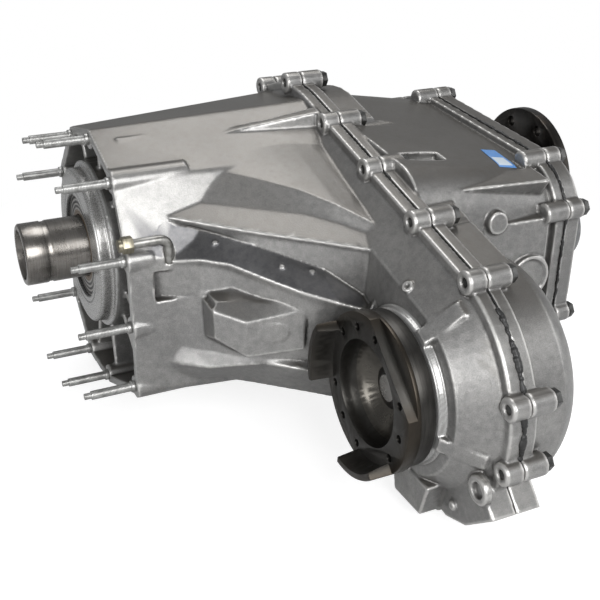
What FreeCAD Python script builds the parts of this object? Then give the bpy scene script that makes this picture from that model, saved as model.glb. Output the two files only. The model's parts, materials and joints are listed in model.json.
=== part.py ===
import FreeCAD, Part
import math
import os

# Two-speed chain-driven transfer case.
# Frame in millimetres: X runs rearwards along the main shaft, Z is up and the
# front output lies towards -Y. The origin is on the main shaft's axis, in the
# plane of the face that bolts to the gearbox.

# Shaft layout and chain
chain_pitch = 12.7
chain_links = 76
sprocket_teeth = 32
front_axis_drop = 49.0

# Stations along the main shaft
parting_x = 215.0
cover_x = 370.0
bell_pocket_depth = 36.0
lobe_front_x = 177.0
bulkhead_x = 252.0
bulkhead_thickness = 12.0

# Rear cover outline, bolts and plugs
cover_lip = 7.0
cover_lip_depth = 10.0
cover_boss_radius = 9.0
cover_boss_depth = 24.0
cover_bolt_grip = 20.0
cover_main_angles = (-70.0, -30.0, 10.0, 50.0, 88.0)
cover_near_angles = ((100.0, 165.0), (195.0, 262.0))
rear_cavity_radius = 82.0
rear_cavity_near_radius = 32.0
snout_base_radius = 57.0
snout_rib_count = 6
snout_rib_start = 15.0
snout_rib_height = 18.0
plug_boss_radius = 16.0
plug_boss_height = 3.0
plug_thread_radius = 9.0
plug_flats = 24.0
plug_head_height = 8.0
drain_place = (-92.0, -44.0)
fill_place = (-88.0, 44.0)

# Walls, fits and gaps
wall = 7.0
running_gap = 0.3
cutter_radius = 500.0
shaft_fit = 0.05
sealant_thickness = 1.0
sealant_squeeze = 0.8

# Adapter studs on the gearbox face
stud_radius = 4.0
stud_length = 45.0
stud_embed = 16.0
stud_tip_radius = 2.8
stud_tip_length = 6.0
stud_collar_radius = 5.2
stud_collar_length = 3.5
stud_places = {
    "c": (104.0, 39.0),
    "a": (46.0, 92.0),
    "b": (-20.0, 106.0),
    "d": (-83.0, 85.0),
    "e": (-113.0, 26.0),
    "g": (-116.0, -34.0),
    "j": (-114.0, -93.0),
    "i": (-16.0, -132.0),
    "h": (52.0, -136.0),
    "f": (100.0, -92.0),
}
stud_rib_lengths = {"d": 66.0, "e": 22.0, "g": 60.0, "j": 98.0}
stud_rib_radius = 11.0
stud_boss_radius = 9.5
bell_pad = 8.0
bell_web = 6.0

# Where each stud's corner of the bell ends at the chain case
flare_pad = 14.0
flare_places = {
    "c": (108.0, 44.0),
    "a": (48.0, 98.0),
    "b": (-30.0, 108.0),
    "d": (-94.0, 76.0),
    "e": (-130.0, 20.0),
    "g": (-139.0, -34.0),
    "j": (-142.0, -86.0),
    "i": (-30.0, -126.0),
    "h": (52.0, -124.0),
    "f": (104.0, -80.0),
}

# Cast ledges on the front output side: each line runs rearwards through (x, y, z)
ledge_lines = (
    (
        (20.0, -84.0, 86.0),
        (58.0, -64.0, 101.0),
        (99.0, -99.0, 86.0),
        (141.0, -136.0, 79.0),
        (177.0, -184.0, 66.0),
        (203.0, -220.0, 50.0),
    ),
    (
        (20.0, -90.0, 62.0),
        (59.0, -99.0, 66.0),
        (105.0, -133.0, 63.0),
        (155.0, -166.0, 60.0),
        (203.0, -226.0, 46.0),
    ),
    (
        (20.0, -93.0, 60.0),
        (57.0, -124.0, 56.0),
        (95.0, -155.0, 52.0),
        (157.0, -199.0, 46.0),
        (203.0, -234.0, 41.0),
    ),
    (
        (20.0, -92.0, 55.0),
        (57.0, -121.0, 52.0),
        (95.0, -152.0, 48.0),
        (157.0, -196.0, 42.0),
        (203.0, -232.0, 37.0),
    ),
    (
        (20.0, -94.0, 42.0),
        (60.0, -109.0, 48.0),
        (102.0, -159.0, 39.0),
        (149.0, -192.0, 22.0),
        (186.0, -210.0, -9.0),
        (203.0, -215.0, -20.0),
    ),
    (
        (20.0, -114.0, 25.0),
        (49.0, -137.0, 25.0),
        (67.0, -138.0, 27.0),
        (115.0, -198.0, 13.0),
        (154.0, -226.0, 2.0),
        (186.0, -224.0, -12.0),
        (203.0, -224.0, -22.0),
    ),
    (
        (20.0, -112.0, 19.0),
        (49.0, -134.0, 20.0),
        (67.0, -135.0, 22.0),
        (115.0, -194.0, 7.0),
        (154.0, -220.0, -6.0),
        (186.0, -220.0, -18.0),
        (203.0, -221.0, -27.0),
    ),
    (
        (20.0, -118.0, -52.0),
        (50.0, -136.0, -56.0),
        (82.0, -160.0, -60.0),
        (121.0, -188.0, -58.0),
        (148.0, -200.0, -58.0),
        (203.0, -208.0, -60.0),
    ),
    (
        (20.0, -118.0, -68.0),
        (50.0, -146.0, -71.0),
        (98.0, -172.0, -64.0),
        (121.0, -197.0, -62.0),
        (146.0, -202.0, -70.0),
        (203.0, -218.0, -94.0),
    ),
    ((20.0, -112.0, -100.0), (80.0, -134.0, -94.0), (160.0, -182.0, -107.0), (203.0, -205.0, -118.0)),
)
ledge_stations = (20.0, 38.0, 58.0, 78.0, 99.0, 121.0, 146.0, 168.0, 186.0, 203.0)
ledge_top_inside = (-40.0, 110.0)
ledge_bottom_inside = (-60.0, -88.0)

# Recess under the lower ledge, behind the bell's rim
recess_front_x = 21.0
recess_rear_x = 62.0
recess_front = ((-115.0, 16.0), (-160.0, 18.0), (-160.0, -12.0), (-115.0, -10.0))
recess_rear = ((-140.0, 18.0), (-160.0, 18.0), (-160.0, -10.0), (-140.0, -8.0))

# Wedge block on the near flank, and the tapered rib under the top flange, by (x, corners)
wedge_block = (
    (58.0, ((-120.0, -4.0), (-156.0, -4.0), (-163.0, -10.0), (-165.0, -34.0), (-120.0, -50.0))),
    (80.0, ((-150.0, 4.0), (-166.0, -4.0), (-183.0, -16.0), (-184.0, -48.0), (-150.0, -56.0))),
    (126.0, ((-170.0, 0.0), (-197.0, -3.0), (-199.0, -7.0), (-200.0, -43.0), (-170.0, -46.0))),
)
flange_rib = (
    (104.0, ((-50.0, 96.0), (-50.0, 107.0), (-54.0, 106.0), (-56.0, 96.0))),
    (203.5, ((-50.0, 96.0), (-54.0, 121.0), (-66.0, 119.0), (-68.0, 96.0))),
)

# Chain case outline
main_case_radius = 121.0
front_case_radius = 98.0
chain_case_wall = 14.0
nose_length = 26.0
nose_slope = 23.0
nose_cavity_slope = 16.0
front_cavity_stop = 30.0
flange_lip = 8.0
flange_thickness = 12.0

# Case bolts round the parting flange: distance run from the main shaft's top
case_bolt_radius = 4.0
case_bolt_boss_radius = 9.5
case_boss_front = 16.0
case_boss_rear = 22.0
case_bolt_head_height = 6.0
case_bolt_head_flats = 13.0
case_bolt_outset = 1.5
case_spot_radius = 9.0
case_spot_depth = 40.0
dowel_radius = 6.0
dowel_length = 16.0
lobe_bolt_angles = (111.0, 165.0, 195.0, 222.0, 258.0)
main_bolt_angles = (-92.0, -52.0, -14.0, 24.0, 60.0, 88.0)
upper_run_bolts = 3
lower_run_bolts = 2

# Gear cavity, shift rail and shift drum
gear_cavity_front_x = 46.0
rail_y = -93.0
rail_z = 8.0
rail_radius = 7.0
rail_front_x = 84.0
rail_space_x = 98.0
rail_rear_x = 338.0
rail_boss_radius = 12.0
rail_rear_boss = 14.0
rail_boss_front_x = 80.0
rail_boss_rear_x = 128.0
drum_y = -148.0
drum_z = 4.0
drum_radius = 22.0
drum_front_x = 284.0
drum_rear_x = 340.0
drum_journal_radius = 9.0
follower_x = 300.0
range_travel = 22.0
mode_travel = 12.0
drum_turn_degrees = 140.0
groove_depth = 6.0
follower_radius = 4.0

groove_overrun = 12.0
groove_steps = 28
range_hub_x = 130.0
mode_fork_hub_x = 192.0
fork_hub_length = 14.0
fork_hub_wall = 5.0
fork_arm_width = 22.0
range_fork_reach = 50.0
mode_fork_reach = 66.0

# Shift actuator and output speed sensor on the rear cover
motor_radius = 38.0
motor_length = 44.0
motor_lug_radius = 8.0
motor_lug_reach = 46.0
motor_bolt_radius = 3.0
motor_bolt_flats = 10.0
motor_lug_angles = (60.0, 180.0, 300.0)
sensor_x = 399.0
sensor_angle = 45.0
sensor_radius = 7.0
sensor_gap = 0.8
sensor_seat_radius = 62.0
sensor_boss_radius = 12.0
sensor_flats = 20.0
sensor_hex_height = 7.0
sensor_head_radius = 9.0
sensor_head_length = 16.0

# Vent elbow on the bell's side
vent_place = (-122.0, 44.0)
vent_x = 36.0
vent_tube_radius = 4.0
vent_front_x = 2.0
vent_bend = 8.0
vent_drop = 22.0
vent_nut_flats = 13.0
vent_nut_length = 9.0

# Input sleeve and its bearing
input_front_x = -66.0
input_groove_x = -46.0
input_bore_rear_x = 20.0
input_spline_rear_x = -6.0
input_spline_teeth = 24
spline_groove_radius = 22.6
spline_tooth_radius = 21.4
input_neck_radius = 32.0
pilot_bearing_wall = 4.0
sleeve_radius = 28.5
sleeve_bore_radius = 21.0
pilot_bore_radius = 23.0
pilot_bore_depth = 14.0
sleeve_groove_depth = 0.8
journal_radius = 30.0
input_bearing_outer = 47.5
input_bearing_width = 18.0
input_bearing_x = 2.0
input_seal_x = -9.0
input_seal_width = 9.0
retainer_radius = 72.0
retainer_front_x = -12.0
retainer_step_x = 3.0
retainer_step_radius = 78.0
bearing_ball_count = 10

# Planetary range gears
gear_module = 2.0
pressure_angle = 25.0
sun_teeth = 42
planet_teeth = 14
ring_teeth = 70
planet_count = 4
gear_backlash = 0.3
sun_x = 60.0
sun_width = 28.0
planet_pin_radius = 5.0
ring_gear_outer = 78.5
carrier_radius = 66.0
carrier_plate = 7.0
carrier_post_radius = 7.0
carrier_post_place = 58.0

# Range clutch
clutch_teeth = 32
clutch_tip_radius = 32.0
clutch_root_radius = 29.5
clutch_gap = 0.3
clutch_tooth_share = 0.34
clutch_slot_share = 0.42
flank_share = 0.08
range_teeth_x = 78.0
range_teeth_width = 8.0
low_ring_x = 99.5
low_ring_width = 9.5
low_ring_radius = 40.0
collar_groove_x = 134.0
fork_width = 7.0
collar_rear_x = 146.0
collar_radius = 38.0
collar_groove_radius = 33.0

# Main shaft
main_spline_teeth = 16
main_spline_root = 22.0
main_spline_tip = 24.0
main_spline_x = 72.0
spline_gap = 0.2
main_spline_share = 0.36
spline_slack = 0.05
main_pilot_radius = 14.0
main_pilot_x = 44.0
main_shaft_rear_x = 490.0
rear_thread_radius = 14.0
rear_spline_radius = 20.0

# Mode clutch and drive sprocket
mode_hub_x = 190.0
mode_hub_width = 10.0
mode_ring_x = 204.0
mode_ring_width = 10.0
mode_collar_x = 188.0
mode_collar_width = 26.0
mode_groove_x = 198.0
mode_tip_radius = 38.0
mode_root_radius = 36.0
mode_collar_radius = 52.0
mode_groove_radius = 46.0
sprocket_x = 218.0
sprocket_width = 32.0
sprocket_tooth_height = 4.0
sprocket_bearing_wall = 4.2
chain_width = 30.0
chain_plate_height = 11.0

# Oil pump and pickup
pump_x = 270.0
pump_width = 18.0
pump_radius = 46.0
pump_rotor_radius = 33.0
pickup_tube_radius = 5.0
pickup_tube_bore = 3.5
pickup_drop = 66.0
screen_length = 40.0
screen_radius = 9.0

# Rear cover, bearing and seal
cover_plate = 16.0
cover_main_radius = 94.0
cover_near_radius = 44.0
cover_near_places = ((-168.0, 36.0), (-166.0, -40.0))
rear_body_x = 226.0
rear_body_main_radius = 118.0
rear_body_near_places = ((-166.0, 54.0), (-166.0, -58.0))
dome_rear_x = 290.0
dome_flat_radius = 50.0
snout_rear_x = 448.0
snout_radius = 52.0
rear_bearing_x = 412.0
rear_bearing_width = 20.0
rear_bearing_outer = 42.5
rear_bearing_inner = 22.5
rear_seal_width = 9.0
tone_ring_x = 393.0
tone_width = 9.0
tone_teeth = 24
tone_radius = 35.0
tone_tooth_height = 3.0

# Rear output flange
rear_flange_x = 486.0
rear_flange_thickness = 12.0
rear_flange_radius = 74.0
rear_flange_pcd = 121.0
rear_flange_holes = 8
rear_flange_hole_radius = 5.5
rear_hub_radius = 31.0
rear_pilot_radius = 40.0
rear_hub_front_x = 432.0
rear_hub_recess_radius = 25.0
rear_hub_recess_x = 474.0
rear_nut_height = 10.0
rear_nut_flats = 36.0

# Braces and lugs round the front output, with (y, z) corners
gusset_angles = (40.0, 118.0, 196.0, 262.0)
gusset_thickness = 14.0
gusset_front_x = 170.0
lug_depth = 22.0
lug_corners = (
    (-290.0, -118.0),
    (-298.0, -146.0),
    (-323.0, -151.0),
    (-350.0, -142.0),
    (-384.0, -114.0),
    (-360.0, -88.0),
)
foot_depth = 32.0
foot_back = 8.0
foot_corners = ((-266.0, -120.0), (-272.0, -152.0), (-312.0, -152.0), (-322.0, -120.0))

# Front output
front_bearing_x = 190.0
front_bearing_width = 19.0
front_bearing_outer = 40.0
front_bearing_inner = 20.0
front_spline_radius = 17.0
front_thread_radius = 11.0
front_tail_bearing_x = 254.0
front_tail_bearing_width = 16.0
front_tail_bearing_outer = 22.0
front_tail_bearing_inner = 15.0
front_seal_width = 9.0
front_seal_x = 178.0
slinger_seat_radius = 49.0
rim_depth = 11.0
rim_cut_depth = 8.0
flange_cut_reach = 51.0
front_collar_x = 168.0
front_collar_radius = 64.0
front_collar_step_radius = 60.0
front_collar_base_radius = 72.0
front_hub_radius = 25.0
front_nut_flats = 30.0
front_nut_height = 9.0
front_flange_face_x = 142.0
front_flange_outer = 66.0
bowl_radius = 44.0
bowl_depth = 30.0
front_flange_pcd = 108.0
front_flange_pitches = 12
front_flange_hole_radius = 3.4
front_flange_skip = (12.0, 132.0, 252.0)
lip_angles = (12.0, 252.0)
lip_sweep = 52.0
lip_reach = 19.0
lip_inner_radius = 57.0
flange_cut_angle = 132.0
slinger_radius = 64.0
slinger_front_x = 154.0
slinger_plate_x = 158.0
slinger_width = 13.0
slinger_wall = 2.0

main_cavity_radius = main_case_radius - chain_case_wall
front_cavity_radius = front_case_radius - chain_case_wall
centre_distance = chain_pitch * (chain_links - sprocket_teeth) / 2
front_y = -math.sqrt(centre_distance ** 2 - front_axis_drop ** 2)
front_z = -front_axis_drop
main_axis = (0.0, 0.0)
front_axis = (front_y, front_z)
X_AXIS = FreeCAD.Vector(1, 0, 0)


def point(x, y, z):
    """A point in the part's frame."""
    return FreeCAD.Vector(x, y, z)


def polar(axis, radius, degrees):
    """The (y, z) place at a radius and angle round an axis along X."""
    angle = math.radians(degrees)
    return axis[0] + radius * math.cos(angle), axis[1] + radius * math.sin(angle)


def cylinder(x0, x1, radius, axis=main_axis):
    """A solid round bar along X."""
    return Part.makeCylinder(radius, x1 - x0, point(x0, axis[0], axis[1]), X_AXIS)


def tube(x0, x1, outer, inner, axis=main_axis):
    """A round sleeve along X."""
    return cylinder(x0, x1, outer, axis).cut(cylinder(x0 - 1, x1 + 1, inner, axis))


def revolved(profile, axis=main_axis):
    """A closed (x, radius) profile turned round an axis along X."""
    corners = [point(x, axis[0] + r, axis[1]) for x, r in profile]
    face = Part.Face(Part.makePolygon(corners + corners[:1]))
    return face.revolve(point(0, axis[0], axis[1]), X_AXIS, 360)


def prism(corners, x0, x1):
    """A (y, z) polygon extruded along X."""
    outline = [point(x0, y, z) for y, z in corners]
    face = Part.Face(Part.makePolygon(outline + outline[:1]))
    return face.extrude(point(x1 - x0, 0, 0))


def hexagon(x0, x1, flats, axis, turn=0.0):
    """A hexagonal prism along X, by its width across flats."""
    radius = flats / math.sqrt(3)
    return prism([polar(axis, radius, turn + 60 * n) for n in range(6)], x0, x1)


def joined(shapes):
    """One shape fused from several, with the seams inside it removed."""
    first = shapes[0]
    if len(shapes) == 1:
        return first
    return first.multiFuse(shapes[1:]).removeSplitter()


def hull_wire(x, circles):
    """The taut outline round circles (y, z, radius) given counter-clockwise."""
    normals = []
    count = len(circles)
    for n in range(count):
        y0, z0, r0 = circles[n]
        y1, z1, r1 = circles[(n + 1) % count]
        length = math.hypot(y1 - y0, z1 - z0)
        along = ((y1 - y0) / length, (z1 - z0) / length)
        lean = (r0 - r1) / length
        side = math.sqrt(1 - lean ** 2)
        normals.append((along[1] * side + along[0] * lean, -along[0] * side + along[1] * lean))
    edges = []
    for n in range(count):
        y0, z0, r0 = circles[n]
        y1, z1, r1 = circles[(n + 1) % count]
        before = normals[n - 1]
        after = normals[n]
        start = math.atan2(before[1], before[0])
        sweep = (math.atan2(after[1], after[0]) - start) % (2 * math.pi)
        turned = [start, start + sweep / 2, start + sweep]
        arc = [point(x, y0 + r0 * math.cos(a), z0 + r0 * math.sin(a)) for a in turned]
        far = point(x, y1 + r1 * after[0], z1 + r1 * after[1])
        edges.append(Part.Arc(*arc).toShape())
        edges.append(Part.makeLine(arc[2], far))
    return Part.Wire(Part.__sortEdges__(edges))


def hull(x0, x1, circles):
    """A taut outline extruded along X."""
    return Part.Face(hull_wire(x0, circles)).extrude(point(x1 - x0, 0, 0))


def hull_loft(x0, circles0, x1, circles1):
    """Straight flanks between two taut outlines with the same circles."""
    return Part.makeLoft([hull_wire(x0, circles0), hull_wire(x1, circles1)], True, True)


def case_circles(main_radius, lobe_radius):
    """The chain case outline round both shafts."""
    return [(0.0, 0.0, main_radius), (front_y, front_z, lobe_radius)]


def stud_circles(radius):
    """Pads round the adapter studs, counter-clockwise."""
    return [(y, z, radius) for y, z in stud_places.values()]


def involute(angle):
    """The involute function of a pressure angle in radians."""
    return math.tan(angle) - angle


def gear_outline(teeth, tip, root, thickness, turn=0.0):
    """The (y, z) corners of an involute gear, by its tooth thickness on the pitch circle."""
    pitch = gear_module * teeth / 2
    pressure = math.radians(pressure_angle)
    base = pitch * math.cos(pressure)
    radii = [max(root, base), (max(root, base) + tip) / 2, tip]
    halves = []
    for radius in radii:
        lean = math.acos(min(1.0, base / radius))
        halves.append(thickness / (2 * pitch) + involute(pressure) - involute(lean))
    if root < base:
        radii.insert(0, root)
        halves.insert(0, halves[0])
    corners = []
    for n in range(teeth):
        centre = math.radians(turn) + 2 * math.pi * n / teeth
        rising = [(r, centre - h) for r, h in zip(radii, halves)]
        falling = [(r, centre + h) for r, h in reversed(list(zip(radii, halves)))]
        corners += [(r * math.cos(a), r * math.sin(a)) for r, a in rising + falling]
    return corners


def shifted(corners, axis):
    """Corners moved from the main axis to another axis."""
    return [(y + axis[0], z + axis[1]) for y, z in corners]


def toothed_outline(teeth, tip, root, tip_share, axis=main_axis, turn=0.0):
    """Straight-flanked teeth; tip_share is the tip's part of the pitch."""
    corners = []
    step = 360.0 / teeth
    for n in range(teeth):
        centre = turn + n * step
        tip_half = step * tip_share / 2
        root_half = tip_half + step * flank_share
        corners.append(polar(axis, root, centre - root_half))
        corners.append(polar(axis, tip, centre - tip_half))
        corners.append(polar(axis, tip, centre + tip_half))
        corners.append(polar(axis, root, centre + root_half))
    return corners


def case_bolt_places():
    """Bolt centres round the parting flange, on both lobes and the straight runs between."""
    outset = flange_lip + case_bolt_outset
    main_ring = main_case_radius + outset
    lobe_ring = front_case_radius + outset
    places = [polar(main_axis, main_ring, a) for a in main_bolt_angles]
    places += [polar(front_axis, lobe_ring, a) for a in lobe_bolt_angles]
    for start, end, count in (
        (places[len(main_bolt_angles) - 1], places[len(main_bolt_angles)], upper_run_bolts),
        (places[0], places[-1], lower_run_bolts),
    ):
        for n in range(count):
            share = (n + 1) / (count + 1)
            places.append((start[0] + (end[0] - start[0]) * share, start[1] + (end[1] - start[1]) * share))
    return places


def dowel_places():
    """The two hollow dowels that locate the case halves, beside two bolts."""
    places = case_bolt_places()
    return [places[2], places[len(main_bolt_angles) + 2]]


def line_place(line, x):
    """The (y, z) place of a ledge line at a station x."""
    for start, end in zip(line, line[1:]):
        if x <= end[0]:
            share = (x - start[0]) / (end[0] - start[0])
            return start[1] + (end[1] - start[1]) * share, start[2] + (end[2] - start[2]) * share
    return line[-1][1:]


def flank_ledges():
    """The stepped cast flank between the bell and the front output."""
    sections = []
    for x in ledge_stations:
        corners = [ledge_top_inside] + [line_place(line, x) for line in ledge_lines] + [ledge_bottom_inside]
        sections.append((x, corners))
    return ruled_loft(sections)


def ruled_loft(sections):
    """Straight flanks from each (x, corners) section to the next."""
    wires = []
    for x, corners in sections:
        outline = [point(x, y, z) for y, z in corners]
        wires.append(Part.makePolygon(outline + outline[:1]))
    return Part.makeLoft(wires, True, True)


def flank_recess():
    """The hollow under the lower ledge."""
    return ruled_loft([(recess_front_x, recess_front), (recess_rear_x, recess_rear)])


def radial_web(x0, x1, start, end, thickness):
    """A flat web along X between two (y, z) places."""
    length = math.hypot(end[0] - start[0], end[1] - start[1])
    across = (-(end[1] - start[1]) / length * thickness / 2, (end[0] - start[0]) / length * thickness / 2)
    corners = [
        (start[0] + across[0], start[1] + across[1]),
        (start[0] - across[0], start[1] - across[1]),
        (end[0] - across[0], end[1] - across[1]),
        (end[0] + across[0], end[1] + across[1]),
    ]
    return prism(corners, x0, x1)


def bell_pocket():
    """The open pocket between the bell's rim and its bearing boss, less bosses and webs."""
    pocket = hull(-1, bell_pocket_depth, stud_circles(bell_pad - wall))
    pocket = pocket.cut(cylinder(-2, bell_pocket_depth + 1, retainer_step_radius))
    kept = []
    for place in stud_places.values():
        reach = math.hypot(*place)
        inner = (
            place[0] * (retainer_step_radius - 2) / reach,
            place[1] * (retainer_step_radius - 2) / reach,
        )
        kept.append(cylinder(-2, bell_pocket_depth + 1, stud_boss_radius, place))
        kept.append(radial_web(8, bell_pocket_depth + 1, inner, place, bell_web))
    return pocket.cut(kept)


def front_case_outside():
    """The bell, its folds and ribs, the chain case front and the output collar."""
    flare = [(y, z, flare_pad) for y, z in flare_places.values()]
    shapes = [
        hull_loft(0, stud_circles(bell_pad), lobe_front_x + nose_length, flare),
        hull_loft(
            lobe_front_x,
            case_circles(main_case_radius - nose_slope, front_case_radius - nose_slope),
            lobe_front_x + nose_length,
            case_circles(main_case_radius, front_case_radius),
        ),
        hull(
            parting_x - flange_thickness,
            parting_x,
            case_circles(main_case_radius + flange_lip, front_case_radius + flange_lip),
        ),
        flank_ledges(),
        ruled_loft(wedge_block),
        ruled_loft(flange_rib),
    ]
    for name, length in stud_rib_lengths.items():
        shapes.append(cylinder(0, length, stud_rib_radius, stud_places[name]))
    for place in case_bolt_places():
        shapes.append(cylinder(parting_x - case_boss_front, parting_x, case_bolt_boss_radius, place))
    shapes.append(
        revolved(
            [
                (front_collar_x, 0),
                (front_collar_x, front_collar_step_radius),
                (front_collar_x + 3, front_collar_radius),
                (front_collar_x + 8, front_collar_radius),
                (front_collar_x + 9, front_collar_base_radius),
                (lobe_front_x + 8, front_collar_base_radius + 4),
                (lobe_front_x + 8, 0),
            ],
            front_axis,
        )
    )
    shapes.append(
        revolved(
            [
                (retainer_front_x, 0),
                (retainer_front_x, retainer_radius - 2),
                (retainer_front_x + 2, retainer_radius),
                (retainer_step_x, retainer_radius),
                (retainer_step_x, retainer_step_radius),
                (bell_pocket_depth, retainer_step_radius),
                (bell_pocket_depth, 0),
            ]
        )
    )
    shapes += collar_gussets()
    shapes += lower_lugs()
    return shapes


def collar_gussets():
    """Blocks that brace the front output collar against the chain case."""
    shapes = []
    inner = front_collar_radius - 10
    outer = front_case_radius - 4
    rear_x = lobe_front_x + nose_length
    profile = [
        (gusset_front_x, inner),
        (gusset_front_x, inner + 12),
        (rear_x - 8, outer),
        (rear_x, outer),
        (rear_x, inner),
    ]
    for angle in gusset_angles:
        turn = math.radians(angle)
        along = (-math.sin(turn) * gusset_thickness, math.cos(turn) * gusset_thickness)
        corners = []
        for x, radius in profile:
            y, z = polar(front_axis, radius, angle)
            corners.append(point(x, y - along[0] / 2, z - along[1] / 2))
        face = Part.Face(Part.makePolygon(corners + corners[:1]))
        shapes.append(face.extrude(point(0, *along)))
    return shapes


def lower_lugs():
    """The bracket lug and foot under the front output."""
    lug = prism(lug_corners, parting_x - lug_depth, parting_x)
    foot = prism(foot_corners, parting_x - foot_back - foot_depth, parting_x - foot_back)
    return [lug, foot]


def front_case():
    """The front half of the casing, hollow, with its bearing bores."""
    outside = joined(front_case_outside())
    face = parting_x - sealant_thickness / 2
    gear_cavity = cylinder(gear_cavity_front_x, parting_x - front_cavity_stop, ring_gear_outer)
    rail_space = hull(
        rail_space_x,
        parting_x - front_cavity_stop,
        [(0.0, 0.0, ring_gear_outer), (rail_y, rail_z, rail_boss_radius + 5)],
    )
    rail_boss = cylinder(rail_boss_front_x, rail_boss_rear_x, rail_boss_radius, (rail_y, rail_z))
    nose_rear_x = lobe_front_x + nose_length
    chain_cavity = hull_loft(
        lobe_front_x + wall,
        case_circles(main_cavity_radius - nose_cavity_slope, front_cavity_radius - nose_cavity_slope),
        nose_rear_x,
        case_circles(main_cavity_radius, front_cavity_radius),
    )
    joint_cavity = hull(
        nose_rear_x - 1,
        parting_x + 1,
        case_circles(main_cavity_radius - 1, front_cavity_radius - 1),
    )
    bearing_boss = cylinder(
        lobe_front_x,
        front_bearing_x + front_bearing_width,
        front_bearing_outer + wall,
        front_axis,
    )
    hollow = [
        gear_cavity,
        rail_space.cut(rail_boss),
        chain_cavity.cut(bearing_boss),
        joint_cavity.cut(bearing_boss),
        flank_recess(),
        bell_pocket(),
        cylinder(retainer_front_x - 1, input_bearing_x + input_bearing_width, input_bearing_outer),
        cylinder(0, gear_cavity_front_x + 1, input_bearing_outer - 6),
        cylinder(rail_front_x - 2, rail_boss_rear_x + 1, rail_radius + shaft_fit, (rail_y, rail_z)),
        cylinder(front_bearing_x, parting_x, front_bearing_outer, front_axis),
        cylinder(front_collar_x - 1, front_bearing_x + 1, front_bearing_outer - 4, front_axis),
        cylinder(front_collar_x - 1, front_bearing_x - 2, front_bearing_outer, front_axis),
        cylinder(face, parting_x + 2, cutter_radius),
        Part.makeCylinder(vent_tube_radius, vent_drop, point(vent_x, *vent_place), point(0, 0, -1)),
    ]
    for place in stud_places.values():
        hollow.append(cylinder(-1, stud_embed, stud_radius, place))
    for place in case_bolt_places():
        hollow.append(cylinder(parting_x - case_boss_front - 1, parting_x + 1, case_bolt_radius, place))
    for place in dowel_places():
        hollow.append(cylinder(parting_x - dowel_length / 2, parting_x + 1, dowel_radius, place))
    return outside.cut(hollow)


def near_circles(main_radius, places, radius):
    """Outline circles of the rear casing: the main shaft and two on the actuator side."""
    return [(0.0, 0.0, main_radius)] + [(y, z, radius) for y, z in places]


def lobe_dome():
    """The rounded back of the front output lobe."""
    start_x = bulkhead_x + wall
    deep = dome_rear_x - start_x
    drop = front_case_radius - dome_flat_radius
    centre = point(start_x, front_y, front_z)
    edge = point(start_x, front_y + front_case_radius, front_z)
    middle = point(start_x + deep * 0.66, front_y + dome_flat_radius + drop * 0.66, front_z)
    rear = point(dome_rear_x, front_y + dome_flat_radius, front_z)
    rear_centre = point(dome_rear_x, front_y, front_z)
    edges = [
        Part.makeLine(centre, edge),
        Part.Arc(edge, middle, rear).toShape(),
        Part.makeLine(rear, rear_centre),
        Part.makeLine(rear_centre, centre),
    ]
    return Part.Face(Part.Wire(edges)).revolve(point(0, front_y, front_z), X_AXIS, 360)


def rear_case_outside():
    """The chain case back, the dome and the body that carries the rear cover."""
    body_front = near_circles(rear_body_main_radius, rear_body_near_places, cover_near_radius)
    body_rear = near_circles(cover_main_radius, cover_near_places, cover_near_radius)
    shapes = [
        hull(parting_x, bulkhead_x + wall, case_circles(main_case_radius, front_case_radius)),
        hull(
            parting_x,
            parting_x + flange_thickness,
            case_circles(main_case_radius + flange_lip, front_case_radius + flange_lip),
        ),
        hull_loft(rear_body_x, body_front, cover_x, body_rear),
        hull(
            cover_x - cover_lip_depth,
            cover_x,
            near_circles(cover_main_radius + cover_lip, cover_near_places, cover_near_radius + cover_lip),
        ),
        lobe_dome(),
        prism(lug_corners, parting_x, parting_x + lug_depth),
    ]
    for place in case_bolt_places():
        shapes.append(cylinder(parting_x, parting_x + case_boss_rear, case_bolt_boss_radius, place))
    for place in cover_bolt_places():
        shapes.append(cylinder(cover_x - cover_boss_depth, cover_x, cover_boss_radius, place))
    return shapes


def cover_bolt_places():
    """Bolt centres round the rear cover's outline."""
    main_ring = cover_main_radius + cover_lip - 1
    near_ring = cover_near_radius + cover_lip - 1
    places = [polar(main_axis, main_ring, a) for a in cover_main_angles]
    for centre, angles in zip(cover_near_places, cover_near_angles):
        places += [polar(centre, near_ring, a) for a in angles]
    return places


def rear_cavity():
    """The space behind the bulkhead for the pump and the shift drum."""
    return hull(
        bulkhead_x + bulkhead_thickness,
        cover_x + 1,
        near_circles(rear_cavity_radius, cover_near_places, rear_cavity_near_radius),
    )


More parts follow.
